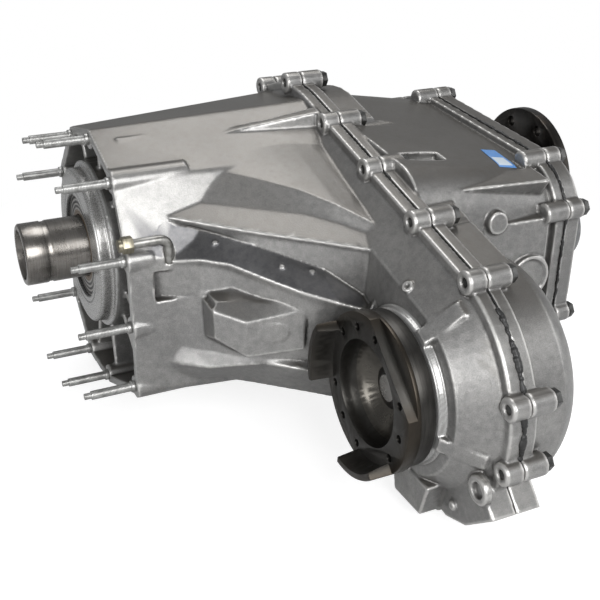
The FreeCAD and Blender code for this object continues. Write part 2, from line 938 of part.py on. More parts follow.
def rear_case():
    """The rear half of the casing, hollow on both sides of its bulkhead."""
    outside = joined(rear_case_outside())
    bulkhead_rear = bulkhead_x + bulkhead_thickness
    tail_end = front_tail_bearing_x + front_tail_bearing_width
    rail_boss = cylinder(bulkhead_x, bulkhead_rear + rail_rear_boss, rail_boss_radius, (rail_y, rail_z))
    drum_boss = cylinder(
        bulkhead_x,
        drum_front_x - running_gap,
        drum_journal_radius + wall,
        (drum_y, drum_z),
    )
    hollow = [
        hull(parting_x - 1, bulkhead_x, case_circles(main_cavity_radius, front_cavity_radius)),
        rear_cavity().cut([rail_boss, drum_boss]),
        cylinder(bulkhead_x - 1, bulkhead_rear + 1, main_spline_tip + 4),
        cylinder(
            bulkhead_x - 1,
            bulkhead_rear + rail_rear_boss + 1,
            rail_radius + shaft_fit,
            (rail_y, rail_z),
        ),
        cylinder(bulkhead_rear - 6, drum_front_x + 1, drum_journal_radius + shaft_fit, (drum_y, drum_z)),
        cylinder(bulkhead_x - 1, tail_end, front_tail_bearing_outer, front_axis),
        cylinder(parting_x - 2, parting_x + sealant_thickness / 2, cutter_radius),
        cylinder(cover_x - sealant_thickness / 2, cover_x + 2, cutter_radius),
    ]
    seat_x = parting_x + case_boss_rear
    for place in case_bolt_places():
        hollow.append(cylinder(parting_x - 1, seat_x + 1, case_bolt_radius, place))
        hollow.append(cylinder(seat_x, seat_x + case_spot_depth, case_spot_radius, place))
    for place in dowel_places():
        hollow.append(cylinder(parting_x - 1, parting_x + dowel_length / 2, dowel_radius, place))
    for place in cover_bolt_places():
        hollow.append(cylinder(cover_x - cover_bolt_grip, cover_x + 1, case_bolt_radius, place))
    return outside.cut(hollow)


def rear_cover():
    """The rear cover with the output snout, bearing bore and actuator seat."""
    outline = near_circles(cover_main_radius + cover_lip, cover_near_places, cover_near_radius + cover_lip)
    plate_rear = cover_x + cover_plate
    snout = revolved(
        [
            (plate_rear - 4, 0),
            (plate_rear - 4, snout_base_radius + 3),
            (plate_rear, snout_base_radius),
            (rear_bearing_x + 4, snout_radius + 4),
            (snout_rear_x - 12, snout_radius),
            (snout_rear_x, snout_radius),
            (snout_rear_x, 0),
        ]
    )
    shapes = [hull(cover_x, plate_rear, outline), snout]
    for n in range(snout_rib_count):
        angle = snout_rib_start + 360 / snout_rib_count * n
        rib = radial_web(
            plate_rear - 1,
            plate_rear + snout_rib_height,
            polar(main_axis, snout_radius - 2, angle),
            polar(main_axis, cover_main_radius - 14, angle),
            bell_web,
        )
        shapes.append(rib)
    for place in (drain_place, fill_place):
        shapes.append(cylinder(plate_rear - 1, plate_rear + plug_boss_height, plug_boss_radius, place))
    for place in cover_bolt_places():
        shapes.append(cylinder(cover_x, plate_rear, cover_boss_radius, place))
    shapes.append(outwards(cylinder(rear_bearing_outer, sensor_seat_radius, sensor_boss_radius)))
    bearing_rear = rear_bearing_x + rear_bearing_width
    hollow = [
        cylinder(cover_x - 1, rear_bearing_x, rear_bearing_outer - 5),
        cylinder(cover_x - 1, plate_rear - 6, rear_bearing_outer + 6),
        cylinder(rear_bearing_x - 1, bearing_rear, rear_bearing_outer),
        cylinder(bearing_rear - 1, snout_rear_x + 1, rear_bearing_outer - 4),
        cylinder(snout_rear_x - rear_seal_width - 1, snout_rear_x + 1, rear_bearing_outer),
        cylinder(cover_x - 1, plate_rear + 1, drum_journal_radius + shaft_fit, (drum_y, drum_z)),
        cylinder(cover_x - 2, cover_x + sealant_thickness / 2, cutter_radius),
    ]
    for place in (drain_place, fill_place):
        hollow.append(cylinder(cover_x - 1, plate_rear + plug_boss_height + 1, plug_thread_radius, place))
    for place in cover_bolt_places():
        hollow.append(cylinder(cover_x - 1, plate_rear + 1, case_bolt_radius, place))
    hollow.append(outwards(cylinder(rear_bearing_outer - 12, sensor_seat_radius + 1, sensor_radius)))
    for place in motor_bolt_places():
        hollow.append(cylinder(plate_rear - 9, plate_rear + 1, motor_bolt_radius, place))
    return joined(shapes).cut(hollow)


def seam_sealant(x, outer, inner, holes):
    """A thin sealant bead squeezed out between two casing faces."""
    x0 = x - sealant_thickness / 2
    x1 = x + sealant_thickness / 2
    bead = hull(x0, x1, outer).cut(hull(x0 - 1, x1 + 1, inner))
    return bead.cut([cylinder(x0 - 1, x1 + 1, radius, place) for place, radius in holes])


def front_seam_sealant():
    """The black bead between the casing halves."""
    holes = [(place, dowel_radius) for place in case_bolt_places()]
    squeezed = flange_lip + sealant_squeeze
    return seam_sealant(
        parting_x,
        case_circles(main_case_radius + squeezed, front_case_radius + squeezed),
        case_circles(main_cavity_radius + wall, front_cavity_radius + wall),
        holes,
    )


def rear_seam_sealant():
    """The black bead between the rear case and its cover."""
    holes = [(place, dowel_radius) for place in cover_bolt_places()]
    squeezed = cover_lip + sealant_squeeze
    return seam_sealant(
        cover_x,
        near_circles(cover_main_radius + squeezed, cover_near_places, cover_near_radius + squeezed),
        near_circles(rear_cavity_radius + 2, cover_near_places, rear_cavity_near_radius + 2),
        holes,
    )


def adapter_studs():
    """The studs that stand out of the gearbox face."""
    studs = []
    for place in stud_places.values():
        tip = -stud_length
        shape = joined(
            [
                cylinder(tip, tip + stud_tip_length, stud_tip_radius, place),
                cylinder(tip + stud_tip_length, stud_embed, stud_radius, place),
                cylinder(-stud_collar_length, 0, stud_collar_radius, place),
            ]
        )
        studs.append(shape)
    return Part.makeCompound(studs)


def hex_bolt(head_x, tip_x, radius, flats, head_height, place):
    """A bolt with its hexagonal head behind head_x and its shank running forwards."""
    head = hexagon(head_x, head_x + head_height, flats, place)
    washer = cylinder(head_x, head_x + 1.5, flats * 0.62, place)
    return joined([cylinder(tip_x, head_x + 1, radius, place), head, washer])


def case_bolts():
    """The bolts round the parting flange, driven from behind."""
    head_x = parting_x + case_boss_rear
    tip_x = parting_x - case_boss_front + 2
    bolts = [
        hex_bolt(head_x, tip_x, case_bolt_radius, case_bolt_head_flats, case_bolt_head_height, place)
        for place in case_bolt_places()
    ]
    return Part.makeCompound(bolts)


def cover_bolts():
    """The bolts round the rear cover."""
    head_x = cover_x + cover_plate
    tip_x = cover_x - cover_bolt_grip + 1
    bolts = [
        hex_bolt(head_x, tip_x, case_bolt_radius, case_bolt_head_flats, case_bolt_head_height, place)
        for place in cover_bolt_places()
    ]
    return Part.makeCompound(bolts)


def locating_dowels():
    """The hollow dowels round two of the case bolts."""
    half = dowel_length / 2
    dowels = [
        tube(parting_x - half, parting_x + half, dowel_radius, case_bolt_radius + 0.5, place)
        for place in dowel_places()
    ]
    return Part.makeCompound(dowels)


def ball_bearing(x, width, outer, inner, axis=main_axis):
    """Outer race, inner race and ball set of a deep-groove bearing."""
    middle = (outer + inner) / 2
    ball = (outer - inner) * 0.29
    race = (outer - inner) * 0.2
    groove = Part.makeTorus(middle, ball + 0.1, point(x + width / 2, axis[0], axis[1]), X_AXIS)
    outer_race = tube(x, x + width, outer, outer - race, axis).cut(groove)
    inner_race = tube(x, x + width, inner + race, inner, axis).cut(groove)
    balls = []
    for n in range(bearing_ball_count):
        place = polar(axis, middle, 360 / bearing_ball_count * n)
        balls.append(Part.makeSphere(ball, point(x + width / 2, place[0], place[1])))
    return outer_race, inner_race, Part.makeCompound(balls)


def tail_bearing():
    """The needle sleeve at the front output shaft's rear end."""
    x1 = front_tail_bearing_x + front_tail_bearing_width
    inner = front_tail_bearing_inner + shaft_fit
    return tube(front_tail_bearing_x, x1, front_tail_bearing_outer, inner, front_axis)


def lip_seal(x, width, outer, inner, axis=main_axis):
    """A shaft seal: a pressed cup with a sloping lip, closed towards the outside."""
    profile = [
        (x, outer),
        (x + width, outer),
        (x + width, outer - 2),
        (x + 2.5, outer - 2.5),
        (x + 3.5, inner + 2.5),
        (x + width - 1, inner + 1.5),
        (x + width - 1, inner),
        (x, inner + 0.6),
    ]
    return revolved(profile, axis)


def input_shaft():
    """The splined input sleeve with the sun gear at its rear end."""
    sun_rear = sun_x + sun_width
    bearing_rear = input_bearing_x + input_bearing_width
    body = revolved(
        [
            (input_front_x, 0),
            (input_front_x, sleeve_radius - 1.5),
            (input_front_x + 1.5, sleeve_radius),
            (input_groove_x, sleeve_radius),
            (input_groove_x, sleeve_radius - sleeve_groove_depth),
            (input_groove_x + 5, sleeve_radius - sleeve_groove_depth),
            (input_groove_x + 5, sleeve_radius),
            (input_bearing_x, sleeve_radius),
            (input_bearing_x, journal_radius),
            (bearing_rear, journal_radius),
            (bearing_rear, journal_radius + 4),
            (bearing_rear + 4, journal_radius + 4),
            (bearing_rear + 4, input_neck_radius),
            (sun_x, input_neck_radius),
            (sun_x, 0),
        ]
    )
    pitch = gear_module * sun_teeth / 2
    thickness = math.pi * gear_module / 2 - gear_backlash / 2
    sun = prism(
        gear_outline(sun_teeth, pitch + 0.8 * gear_module, pitch - 1.2 * gear_module, thickness),
        sun_x,
        sun_rear,
    )
    clutch = toothed_outline(
        clutch_teeth,
        clutch_tip_radius + clutch_gap,
        clutch_root_radius + clutch_gap,
        clutch_slot_share,
    )
    hollow = [
        cylinder(input_spline_rear_x - 1, input_bore_rear_x, sleeve_bore_radius),
        cylinder(input_front_x - 1, input_spline_rear_x, spline_tooth_radius),
        cylinder(input_front_x - 1, input_front_x + pilot_bore_depth, pilot_bore_radius),
        cylinder(
            input_front_x + pilot_bore_depth,
            input_spline_rear_x,
            spline_groove_radius,
        ).common(spline_grooves()),
        cylinder(main_pilot_x - 2, sun_x, main_pilot_radius + pilot_bearing_wall),
        cylinder(sun_x, sun_x + 6, clutch_tip_radius + 1),
        prism(clutch, sun_x + 5, sun_rear + 1),
    ]
    return joined([body, sun]).cut(hollow)


def spline_grooves():
    """Slots of the input sleeve's internal spline."""
    outline = toothed_outline(input_spline_teeth, spline_groove_radius, spline_tooth_radius - 0.5, 0.42)
    return prism(outline, input_front_x + pilot_bore_depth, input_spline_rear_x)


def pilot_bearing():
    """The needle sleeve between the input shaft and the main shaft's nose."""
    outer = main_pilot_radius + pilot_bearing_wall
    return tube(main_pilot_x, sun_x - 2, outer, main_pilot_radius + shaft_fit)


def ring_gear():
    """The fixed annulus of the planetary set."""
    pitch = gear_module * ring_teeth / 2
    space = math.pi * gear_module / 2 + gear_backlash / 2
    opening = gear_outline(
        ring_teeth,
        pitch + 1.2 * gear_module,
        pitch - 0.8 * gear_module,
        space,
        180 / ring_teeth,
    )
    blank = cylinder(sun_x, sun_x + sun_width, ring_gear_outer)
    return blank.cut(prism(opening, sun_x - 1, sun_x + sun_width + 1))


def planet_axis(index):
    """The centre of one planet gear."""
    radius = gear_module * (sun_teeth + planet_teeth) / 2
    return polar(main_axis, radius, 360 / planet_count * index)


def planet_gear(index):
    """One planet gear, turned so that it meshes with the sun and the annulus."""
    axis = planet_axis(index)
    angle = 360 / planet_count * index
    pitch = gear_module * planet_teeth / 2
    thickness = math.pi * gear_module / 2 - gear_backlash / 2
    tooth_faces_sun = (angle / (360 / sun_teeth)) % 1.0 > 0.25
    turn = angle if tooth_faces_sun else angle + 180 / planet_teeth
    outline = gear_outline(
        planet_teeth,
        pitch + 0.8 * gear_module,
        pitch - 1.2 * gear_module,
        thickness,
        turn,
    )
    x0 = sun_x + 1
    x1 = sun_x + sun_width - 1
    return prism(shifted(outline, axis), x0, x1).cut(
        cylinder(x0 - 1, x1 + 1, planet_pin_radius + shaft_fit, axis),
    )


def planet_carrier():
    """Two plates joined by posts, with the low-range clutch ring behind."""
    front = sun_x - 3 - carrier_plate
    rear = sun_x + sun_width + 3
    bore = input_neck_radius + shaft_fit
    shapes = [tube(front, front + carrier_plate, carrier_radius, bore)]
    shapes.append(cylinder(rear, rear + carrier_plate, carrier_radius))
    shapes.append(cylinder(rear, low_ring_x + low_ring_width, low_ring_radius))
    for n in range(planet_count):
        place = polar(main_axis, carrier_post_place, 360 / planet_count * (n + 0.5))
        shapes.append(cylinder(front + 1, rear + 1, carrier_post_radius, place))
    clutch = toothed_outline(
        clutch_teeth,
        clutch_tip_radius + clutch_gap,
        clutch_root_radius + clutch_gap,
        clutch_slot_share,
    )
    hollow = [
        prism(clutch, low_ring_x, low_ring_x + low_ring_width + 1),
        cylinder(rear - 1, low_ring_x, clutch_tip_radius + 1),
    ]
    for n in range(planet_count):
        hollow.append(cylinder(front - 1, rear + carrier_plate + 1, planet_pin_radius, planet_axis(n)))
    return joined(shapes).cut(hollow)


def planet_pins():
    """The pins the planet gears turn on."""
    front = sun_x - 3 - carrier_plate
    rear = sun_x + sun_width + 3 + carrier_plate
    return Part.makeCompound(
        [cylinder(front, rear, planet_pin_radius, planet_axis(n)) for n in range(planet_count)]
    )


def spline_outline(gap):
    """The main shaft's splines, or with a gap the hole that slides over them."""
    share = main_spline_share + (spline_slack if gap else 0.0)
    return toothed_outline(main_spline_teeth, main_spline_tip + gap, main_spline_root + gap, share)


def main_shaft():
    """The rear output shaft from its pilot nose to the flange nut's thread."""
    spline_end = mode_ring_x
    shapes = [
        cylinder(main_pilot_x, sun_x + 1, main_pilot_radius),
        cylinder(sun_x, main_spline_x, main_spline_root),
        prism(spline_outline(0.0), main_spline_x, spline_end),
        cylinder(spline_end, rear_bearing_x, main_spline_tip),
        cylinder(rear_bearing_x - 1, rear_bearing_x + rear_bearing_width, rear_bearing_inner),
        cylinder(rear_hub_front_x - 1, rear_hub_recess_x, rear_spline_radius),
        cylinder(rear_hub_recess_x - 1, main_shaft_rear_x, rear_thread_radius),
    ]
    return joined(shapes)


def spline_bore(x0, x1):
    """The splined hole that slides over the main shaft."""
    return prism(spline_outline(spline_gap), x0, x1)


def range_collar():
    """The sliding collar that locks the main shaft to the sun or to the carrier."""
    front = range_teeth_x
    neck_end = low_ring_x + low_ring_width + 2
    teeth = toothed_outline(clutch_teeth, clutch_tip_radius, clutch_root_radius, clutch_tooth_share)
    shapes = [
        prism(teeth, front, front + range_teeth_width),
        revolved(
            [
                (front, 0),
                (front, clutch_root_radius - 0.4),
                (neck_end, clutch_root_radius - 0.4),
                (neck_end + 3, collar_groove_radius),
                (collar_groove_x - 5, collar_groove_radius),
                (collar_groove_x - 5, collar_radius),
                (collar_groove_x, collar_radius),
                (collar_groove_x, collar_groove_radius),
                (collar_groove_x + fork_width + 2 * running_gap, collar_groove_radius),
                (collar_groove_x + fork_width + 2 * running_gap, collar_radius),
                (collar_rear_x, collar_radius),
                (collar_rear_x, 0),
            ]
        ),
    ]
    return joined(shapes).cut(spline_bore(front - 1, collar_rear_x + 1))


def mode_hub():
    """The hub splined to the main shaft that carries the mode collar."""
    teeth = toothed_outline(clutch_teeth, mode_tip_radius, mode_root_radius, clutch_tooth_share)
    blank = prism(teeth, mode_hub_x, mode_hub_x + mode_hub_width)
    return blank.cut(spline_bore(mode_hub_x - 1, mode_hub_x + mode_hub_width + 1))


def mode_collar():
    """The sliding collar that locks the drive sprocket to the main shaft."""
    rear = mode_collar_x + mode_collar_width
    groove_rear = mode_groove_x + fork_width + 2 * running_gap
    blank = revolved(
        [
            (mode_collar_x, 0),
            (mode_collar_x, mode_groove_radius),
            (mode_groove_x - 4, mode_groove_radius),
            (mode_groove_x - 4, mode_collar_radius),
            (mode_groove_x, mode_collar_radius),
            (mode_groove_x, mode_groove_radius),
            (groove_rear, mode_groove_radius),
            (groove_rear, mode_collar_radius),
            (groove_rear + 4, mode_collar_radius),
            (rear, mode_groove_radius),
            (rear, 0),
        ]
    )
    teeth = toothed_outline(
        clutch_teeth,
        mode_tip_radius + clutch_gap,
        mode_root_radius + clutch_gap,
        clutch_slot_share,
    )
    return blank.cut(prism(teeth, mode_collar_x - 1, rear + 1))


def shift_fork(groove_x, groove_radius, reach_radius, hub_x0, hub_x1, fixed):
    """A fork that hugs a collar's groove and hangs on the shift rail."""
    x0 = groove_x + running_gap
    x1 = x0 + fork_width
    bore = rail_radius if fixed else rail_radius + shaft_fit
    inner = groove_radius + running_gap
    half_ring = tube(x0, x1, reach_radius, inner)
    open_side = prism([(8, -200), (8, 200), (200, 200), (200, -200)], x0 - 1, x1 + 1)
    arm = radial_web(x0, x1, polar(main_axis, inner + 4, fork_angle), (rail_y, rail_z), fork_arm_width)
    hub = cylinder(hub_x0, hub_x1, rail_radius + fork_hub_wall, (rail_y, rail_z))
    solid = joined([half_ring.cut(open_side), arm.cut(cylinder(x0 - 1, x1 + 1, inner)), hub])
    return solid.cut(cylinder(hub_x0 - 1, hub_x1 + 1, bore, (rail_y, rail_z)))


fork_angle = math.degrees(math.atan2(rail_z, rail_y))


def range_fork():
    """The fork of the range collar, pinned to the rail."""
    return shift_fork(
        collar_groove_x,
        collar_groove_radius,
        range_fork_reach,
        range_hub_x,
        range_hub_x + fork_hub_length,
        True,
    )


def mode_fork():
    """The fork of the mode collar, free to slide on the rail."""
    return shift_fork(
        mode_groove_x,
        mode_groove_radius,
        mode_fork_reach,
        mode_fork_hub_x,
        mode_fork_hub_x + fork_hub_length,
        False,
    )


def shift_rail():
    """The rail that carries both forks."""
    return cylinder(rail_front_x, rail_rear_x, rail_radius, (rail_y, rail_z))


def drum_direction():
    """The angle from the shift drum to the rail, in degrees."""
    return math.degrees(math.atan2(rail_z - drum_z, rail_y - drum_y))


def rail_follower():
    """The arm on the rail whose peg runs in the drum's groove."""
    angle = drum_direction()
    start = polar((drum_y, drum_z), drum_radius + 2, angle)
    arm = radial_web(follower_x - 7, follower_x + 7, start, (rail_y, rail_z), 14.0)
    hub = cylinder(follower_x - 9, follower_x + 9, rail_radius + fork_hub_wall, (rail_y, rail_z))
    tip = polar((drum_y, drum_z), drum_radius - groove_depth + 0.5, angle)
    outward = FreeCAD.Vector(0, math.cos(math.radians(angle)), math.sin(math.radians(angle)))
    peg = Part.makeCylinder(follower_radius, groove_depth + 4, point(follower_x, tip[0], tip[1]), outward)
    solid = joined([arm, hub, peg])
    return solid.cut(cylinder(follower_x - 10, follower_x + 10, rail_radius, (rail_y, rail_z)))


def shift_drum():
    """The drum whose helical groove drives the rail from high to low range."""
    axis = (drum_y, drum_z)
    body = joined(
        [
            cylinder(drum_front_x, drum_rear_x, drum_radius, axis),
            cylinder(bulkhead_x + bulkhead_thickness - 5, cover_x + cover_plate, drum_journal_radius, axis),
        ]
    )
    return body.cut(drum_groove())


def drum_groove():
    """The helical slot, a constant lead with round ends for the peg."""
    lead = range_travel / drum_turn_degrees
    first = -groove_overrun
    last = drum_turn_degrees + groove_overrun
    steps = groove_steps
    shapes = []
    outward = drum_direction()
    for n in range(steps + 1):
        turn = first + (last - first) * n / steps
        angle = outward - turn
        x = follower_x + lead * turn
        start = polar((drum_y, drum_z), drum_radius - groove_depth, angle)
        direction = FreeCAD.Vector(0, math.cos(math.radians(angle)), math.sin(math.radians(angle)))
        cutter = Part.makeCylinder(
            follower_radius + running_gap,
            groove_depth + 4,
            point(x, start[0], start[1]),
            direction,
        )
        shapes.append(cutter)
    return shapes


def sprocket(axis, bore, front_neck):
    """A chain sprocket; front_neck is its clutch ring length, or nothing."""
    pitch = chain_pitch * sprocket_teeth / (2 * math.pi)
    x0 = sprocket_x + 1
    x1 = sprocket_x + sprocket_width - 1
    teeth = toothed_outline(sprocket_teeth, pitch, pitch - sprocket_tooth_height, 0.3, axis)
    shapes = [prism(teeth, x0, x1), cylinder(sprocket_x, sprocket_x + sprocket_width, bore + 9, axis)]
    if front_neck:
        ring = toothed_outline(clutch_teeth, mode_tip_radius, mode_root_radius, clutch_tooth_share, axis)
        shapes.append(prism(ring, mode_ring_x, mode_ring_x + mode_ring_width))
        shapes.append(cylinder(mode_ring_x + 1, sprocket_x + 1, bore + 5, axis))
    waist = tube(x0 - 1, x0 + 8, pitch - 12, bore + 9, axis)
    back_waist = tube(x1 - 8, x1 + 1, pitch - 12, bore + 9, axis)
    return joined(shapes).cut([waist, back_waist, cylinder(mode_ring_x - 1, x1 + 3, bore, axis)])


def drive_sprocket():
    """The sprocket on the main shaft."""
    return sprocket(main_axis, main_spline_tip + sprocket_bearing_wall, True)


def drive_sprocket_bearing():
    """The needle sleeve the drive sprocket turns on."""
    outer = main_spline_tip + sprocket_bearing_wall - shaft_fit
    return tube(mode_ring_x + 1, sprocket_x + sprocket_width, outer, main_spline_tip)


def driven_sprocket():
    """The sprocket on the front output shaft."""
    return sprocket(front_axis, front_bearing_inner + 2, False)


def chain_path(distance):
    """Place and heading of the chain at a distance along its loop."""
    pitch = chain_pitch * sprocket_teeth / (2 * math.pi)
    radius = pitch + chain_plate_height / 2 + running_gap
    heading = math.atan2(front_z, front_y)
    straight = centre_distance
    half_turn = math.pi * radius
    loop = 2 * (straight + half_turn)
    s = distance % loop
    if s < straight:
        side = heading - math.pi / 2
        y = radius * math.cos(side) + s * math.cos(heading)
        z = radius * math.sin(side) + s * math.sin(heading)
        return y, z, heading
    s -= straight
    if s < half_turn:
        angle = heading - math.pi / 2 + s / radius
        return front_y + radius * math.cos(angle), front_z + radius * math.sin(angle), angle + math.pi / 2
    s -= half_turn
    if s < straight:
        side = heading + math.pi / 2
        y = front_y + radius * math.cos(side) - s * math.cos(heading)
        z = front_z + radius * math.sin(side) - s * math.sin(heading)
        return y, z, heading + math.pi
    s -= straight
    angle = heading + math.pi / 2 + s / radius
    return radius * math.cos(angle), radius * math.sin(angle), angle + math.pi / 2


def chain_link(index, length, x0, x1):
    """One link plate with its two teeth towards the sprockets."""
    y, z, heading = chain_path(index * length)
    half = length * 0.5 + 2.6
    top = chain_plate_height / 2
    outline = [
        (-half, top - 3),
        (-half + 3, top),
        (half - 3, top),
        (half, top - 3),
        (half - 2.5, -top),
        (1.2, -top + 4),
        (-1.2, -top + 4),
        (-half + 2.5, -top),
    ]
    corners = []
    for along, out in outline:
        side = heading - math.pi / 2
        corners.append((
            y + along * math.cos(heading) + out * math.cos(side),
            z + along * math.sin(heading) + out * math.sin(side),
        ))
    return prism(corners, x0, x1)


def drive_chain():
    """The closed chain: wide links between pairs of narrow ones, on round pins."""
    pitch = chain_pitch * sprocket_teeth / (2 * math.pi)
    radius = pitch + chain_plate_height / 2 + running_gap
    length = 2 * (centre_distance + math.pi * radius) / chain_links
    middle = sprocket_x + sprocket_width / 2
    half = chain_width / 2
    inner_half = half * 0.45
    links = []
    for n in range(chain_links):
        if n % 2:
            links.append(chain_link(n, length, middle - inner_half, middle + inner_half))
        else:
            links.append(chain_link(n, length, middle - half, middle - inner_half - 0.1))
            links.append(chain_link(n, length, middle + inner_half + 0.1, middle + half))
    return Part.makeCompound(links)


def oil_pump_housing():
    """The pump body on the bulkhead, open round its rotor."""
    x0 = bulkhead_x + bulkhead_thickness
    x1 = pump_x + pump_width
    middle = pump_x + pump_width / 2
    body = cylinder(x0, x1, pump_radius)
    port = Part.makeCylinder(
        pickup_tube_radius + 3,
        12,
        point(middle, 0, -pump_radius + 6),
        point(0, 0, -1),
    )
    drilling = Part.makeCylinder(
        pickup_tube_radius,
        20,
        point(middle, 0, -pump_radius + 4),
        point(0, 0, -1),
    )
    shaft_hole = cylinder(x0 - 1, x1 + 1, main_spline_tip + 1)
    chamber = cylinder(pump_x + 2, x1 - 3, pump_rotor_radius + running_gap)
    return body.fuse(port).cut(shaft_hole).cut(chamber).cut(drilling)


def oil_pump_rotor():
    """The lobed rotor keyed to the main shaft."""
    x0 = pump_x + 2 + running_gap
    x1 = pump_x + pump_width - 3 - running_gap
    lobes = toothed_outline(8, pump_rotor_radius, pump_rotor_radius - 5, 0.4)
    return prism(lobes, x0, x1).cut(cylinder(x0 - 1, x1 + 1, main_spline_tip))


def oil_pickup_tube():
    """The bent tube from the pump down to the strainer."""
    x = pump_x + pump_width / 2
    down = Part.makeLine(point(x, 0, -pump_radius + 4), point(x, 0, -pickup_drop + 6))
    bend = Part.Arc(
        point(x, 0, -pickup_drop + 6),
        point(x + 6 - 6 * math.cos(math.pi / 4), 0, -pickup_drop + 6 - 6 * math.sin(math.pi / 4)),
        point(x + 6, 0, -pickup_drop),
    ).toShape()
    away = Part.makeLine(point(x + 6, 0, -pickup_drop), point(x + 22, 0, -pickup_drop))
    path = Part.Wire([down, bend, away])
    outer = Part.Wire(Part.makeCircle(pickup_tube_radius, point(x, 0, -pump_radius + 4), point(0, 0, -1)))
    inner = Part.Wire(Part.makeCircle(pickup_tube_bore, point(x, 0, -pump_radius + 4), point(0, 0, -1)))
    return path.makePipeShell([outer], True, True).cut(path.makePipeShell([inner], True, True))


def oil_strainer():
    """The gauze strainer at the pickup tube's foot."""
    x0 = pump_x + pump_width / 2 + 20
    x1 = x0 + screen_length
    shell = tube(x0, x1, screen_radius, screen_radius - 1.5, (0.0, -pickup_drop))
    front = tube(x0, x0 + 2, screen_radius, pickup_tube_radius, (0.0, -pickup_drop))
    rear = cylinder(x1 - 2, x1, screen_radius, (0.0, -pickup_drop))
    slots = []
    for n in range(4):
        x = x0 + 6 + n * 8
        slots.append(
            Part.makeBox(
                4,
                30,
                screen_radius,
                point(x, -15, -pickup_drop - screen_radius + 2 - screen_radius),
            ),
        )
    return joined([shell, front, rear]).cut(slots)


def tone_ring():
    """The toothed ring the output speed sensor reads."""
    rear = tone_ring_x + tone_width
    teeth = toothed_outline(tone_teeth, tone_radius, tone_radius - tone_tooth_height, 0.4)
    return prism(teeth, tone_ring_x, rear).cut(cylinder(tone_ring_x - 1, rear + 1, main_spline_tip))


def outwards(shape):
    """A shape built along X on the main axis, turned to point out at the speed sensor's place."""
    turned = shape.copy()
    turned.rotate(point(0, 0, 0), point(0, 0, 1), 90)
    turned.rotate(point(0, 0, 0), X_AXIS, sensor_angle)
    turned.translate(point(sensor_x, 0, 0))
    return turned


def speed_sensor():
    """The sensor screwed into the snout, its tip just clear of the tone ring."""
    seat = sensor_seat_radius
    neck = seat + sensor_hex_height
    body = [
        cylinder(tone_radius + sensor_gap, seat + 1, sensor_radius),
        hexagon(seat, neck, sensor_flats, main_axis),
        cylinder(neck - 1, neck + sensor_head_length, sensor_head_radius),
    ]
    return outwards(joined(body))


def motor_bolt_places():
    """The actuator's three fastening lugs."""
    return [polar((drum_y, drum_z), motor_lug_reach, a) for a in motor_lug_angles]


def shift_motor():
    """The grey actuator on the rear cover, round the drum's shaft."""
    axis = (drum_y, drum_z)
    x0 = cover_x + cover_plate
    body = revolved(
        [
            (x0, 0),
            (x0, motor_radius),
            (x0 + motor_length * 0.6, motor_radius),
            (x0 + motor_length * 0.85, motor_radius - 5),
            (x0 + motor_length, motor_radius - 15),
            (x0 + motor_length, 0),
        ],
        axis,
    )
    lugs = [cylinder(x0, x0 + 8, motor_lug_radius, place) for place in motor_bolt_places()]
    lugs += [
        radial_web(x0, x0 + 8, polar(axis, motor_radius - 6, a), polar(axis, motor_lug_reach, a), 15.0)
        for a in motor_lug_angles
    ]
    holes = [cylinder(x0 - 1, x0 + 9, motor_bolt_radius, place) for place in motor_bolt_places()]
    return joined([body] + lugs).cut(holes)


def motor_bolts():
    """The three bolts of the actuator."""
    x0 = cover_x + cover_plate
    bolts = [
        hex_bolt(x0 + 8, x0 - 8, motor_bolt_radius, motor_bolt_flats, 4.0, place)
        for place in motor_bolt_places()
    ]
    return Part.makeCompound(bolts)


def hex_plug(place):
    """A threaded plug with a hexagonal head."""
    seat = cover_x + cover_plate + plug_boss_height
    head = hexagon(seat, seat + plug_head_height, plug_flats, place)
    flange = cylinder(seat, seat + 2, plug_boss_radius - 1, place)
    return joined([cylinder(cover_x + 2, seat + 1, plug_thread_radius, place), head, flange])


def drain_plug():
    """The lower plug."""
    return hex_plug(drain_place)


def fill_plug():
    """The upper plug."""
    return hex_plug(fill_place)


def vent_elbow():
    """The vent's tube: forwards beside the bell, then down into its side."""
    y, z = vent_place
    lean = vent_bend * math.cos(math.pi / 4)
    away = Part.makeLine(point(vent_front_x, y, z), point(vent_x - vent_bend, y, z))
    bend = Part.Arc(
        point(vent_x - vent_bend, y, z),
        point(vent_x - vent_bend + lean, y, z - vent_bend + lean),
        point(vent_x, y, z - vent_bend),
    ).toShape()
    down = Part.makeLine(point(vent_x, y, z - vent_bend), point(vent_x, y, z - vent_drop))
    path = Part.Wire([away, bend, down])
    start = Part.Wire(Part.makeCircle(vent_tube_radius, point(vent_front_x, y, z), X_AXIS))
    return path.makePipeShell([start], True, True)


def vent_cap():
    """The brass nut on the vent's end."""
    rear = vent_front_x + 3
    front = rear - vent_nut_length
    nut = hexagon(front, rear, vent_nut_flats, vent_place)
    nose = cylinder(front - 3, front + 1, vent_nut_flats / 2 - 1, vent_place)
    return joined([nut, nose]).cut(cylinder(vent_front_x, rear + 1, vent_tube_radius, vent_place))


def circle_holes(x0, x1, axis, pcd, radius, angles):
    """Round holes on a pitch circle."""
    return [cylinder(x0, x1, radius, polar(axis, pcd / 2, a)) for a in angles]


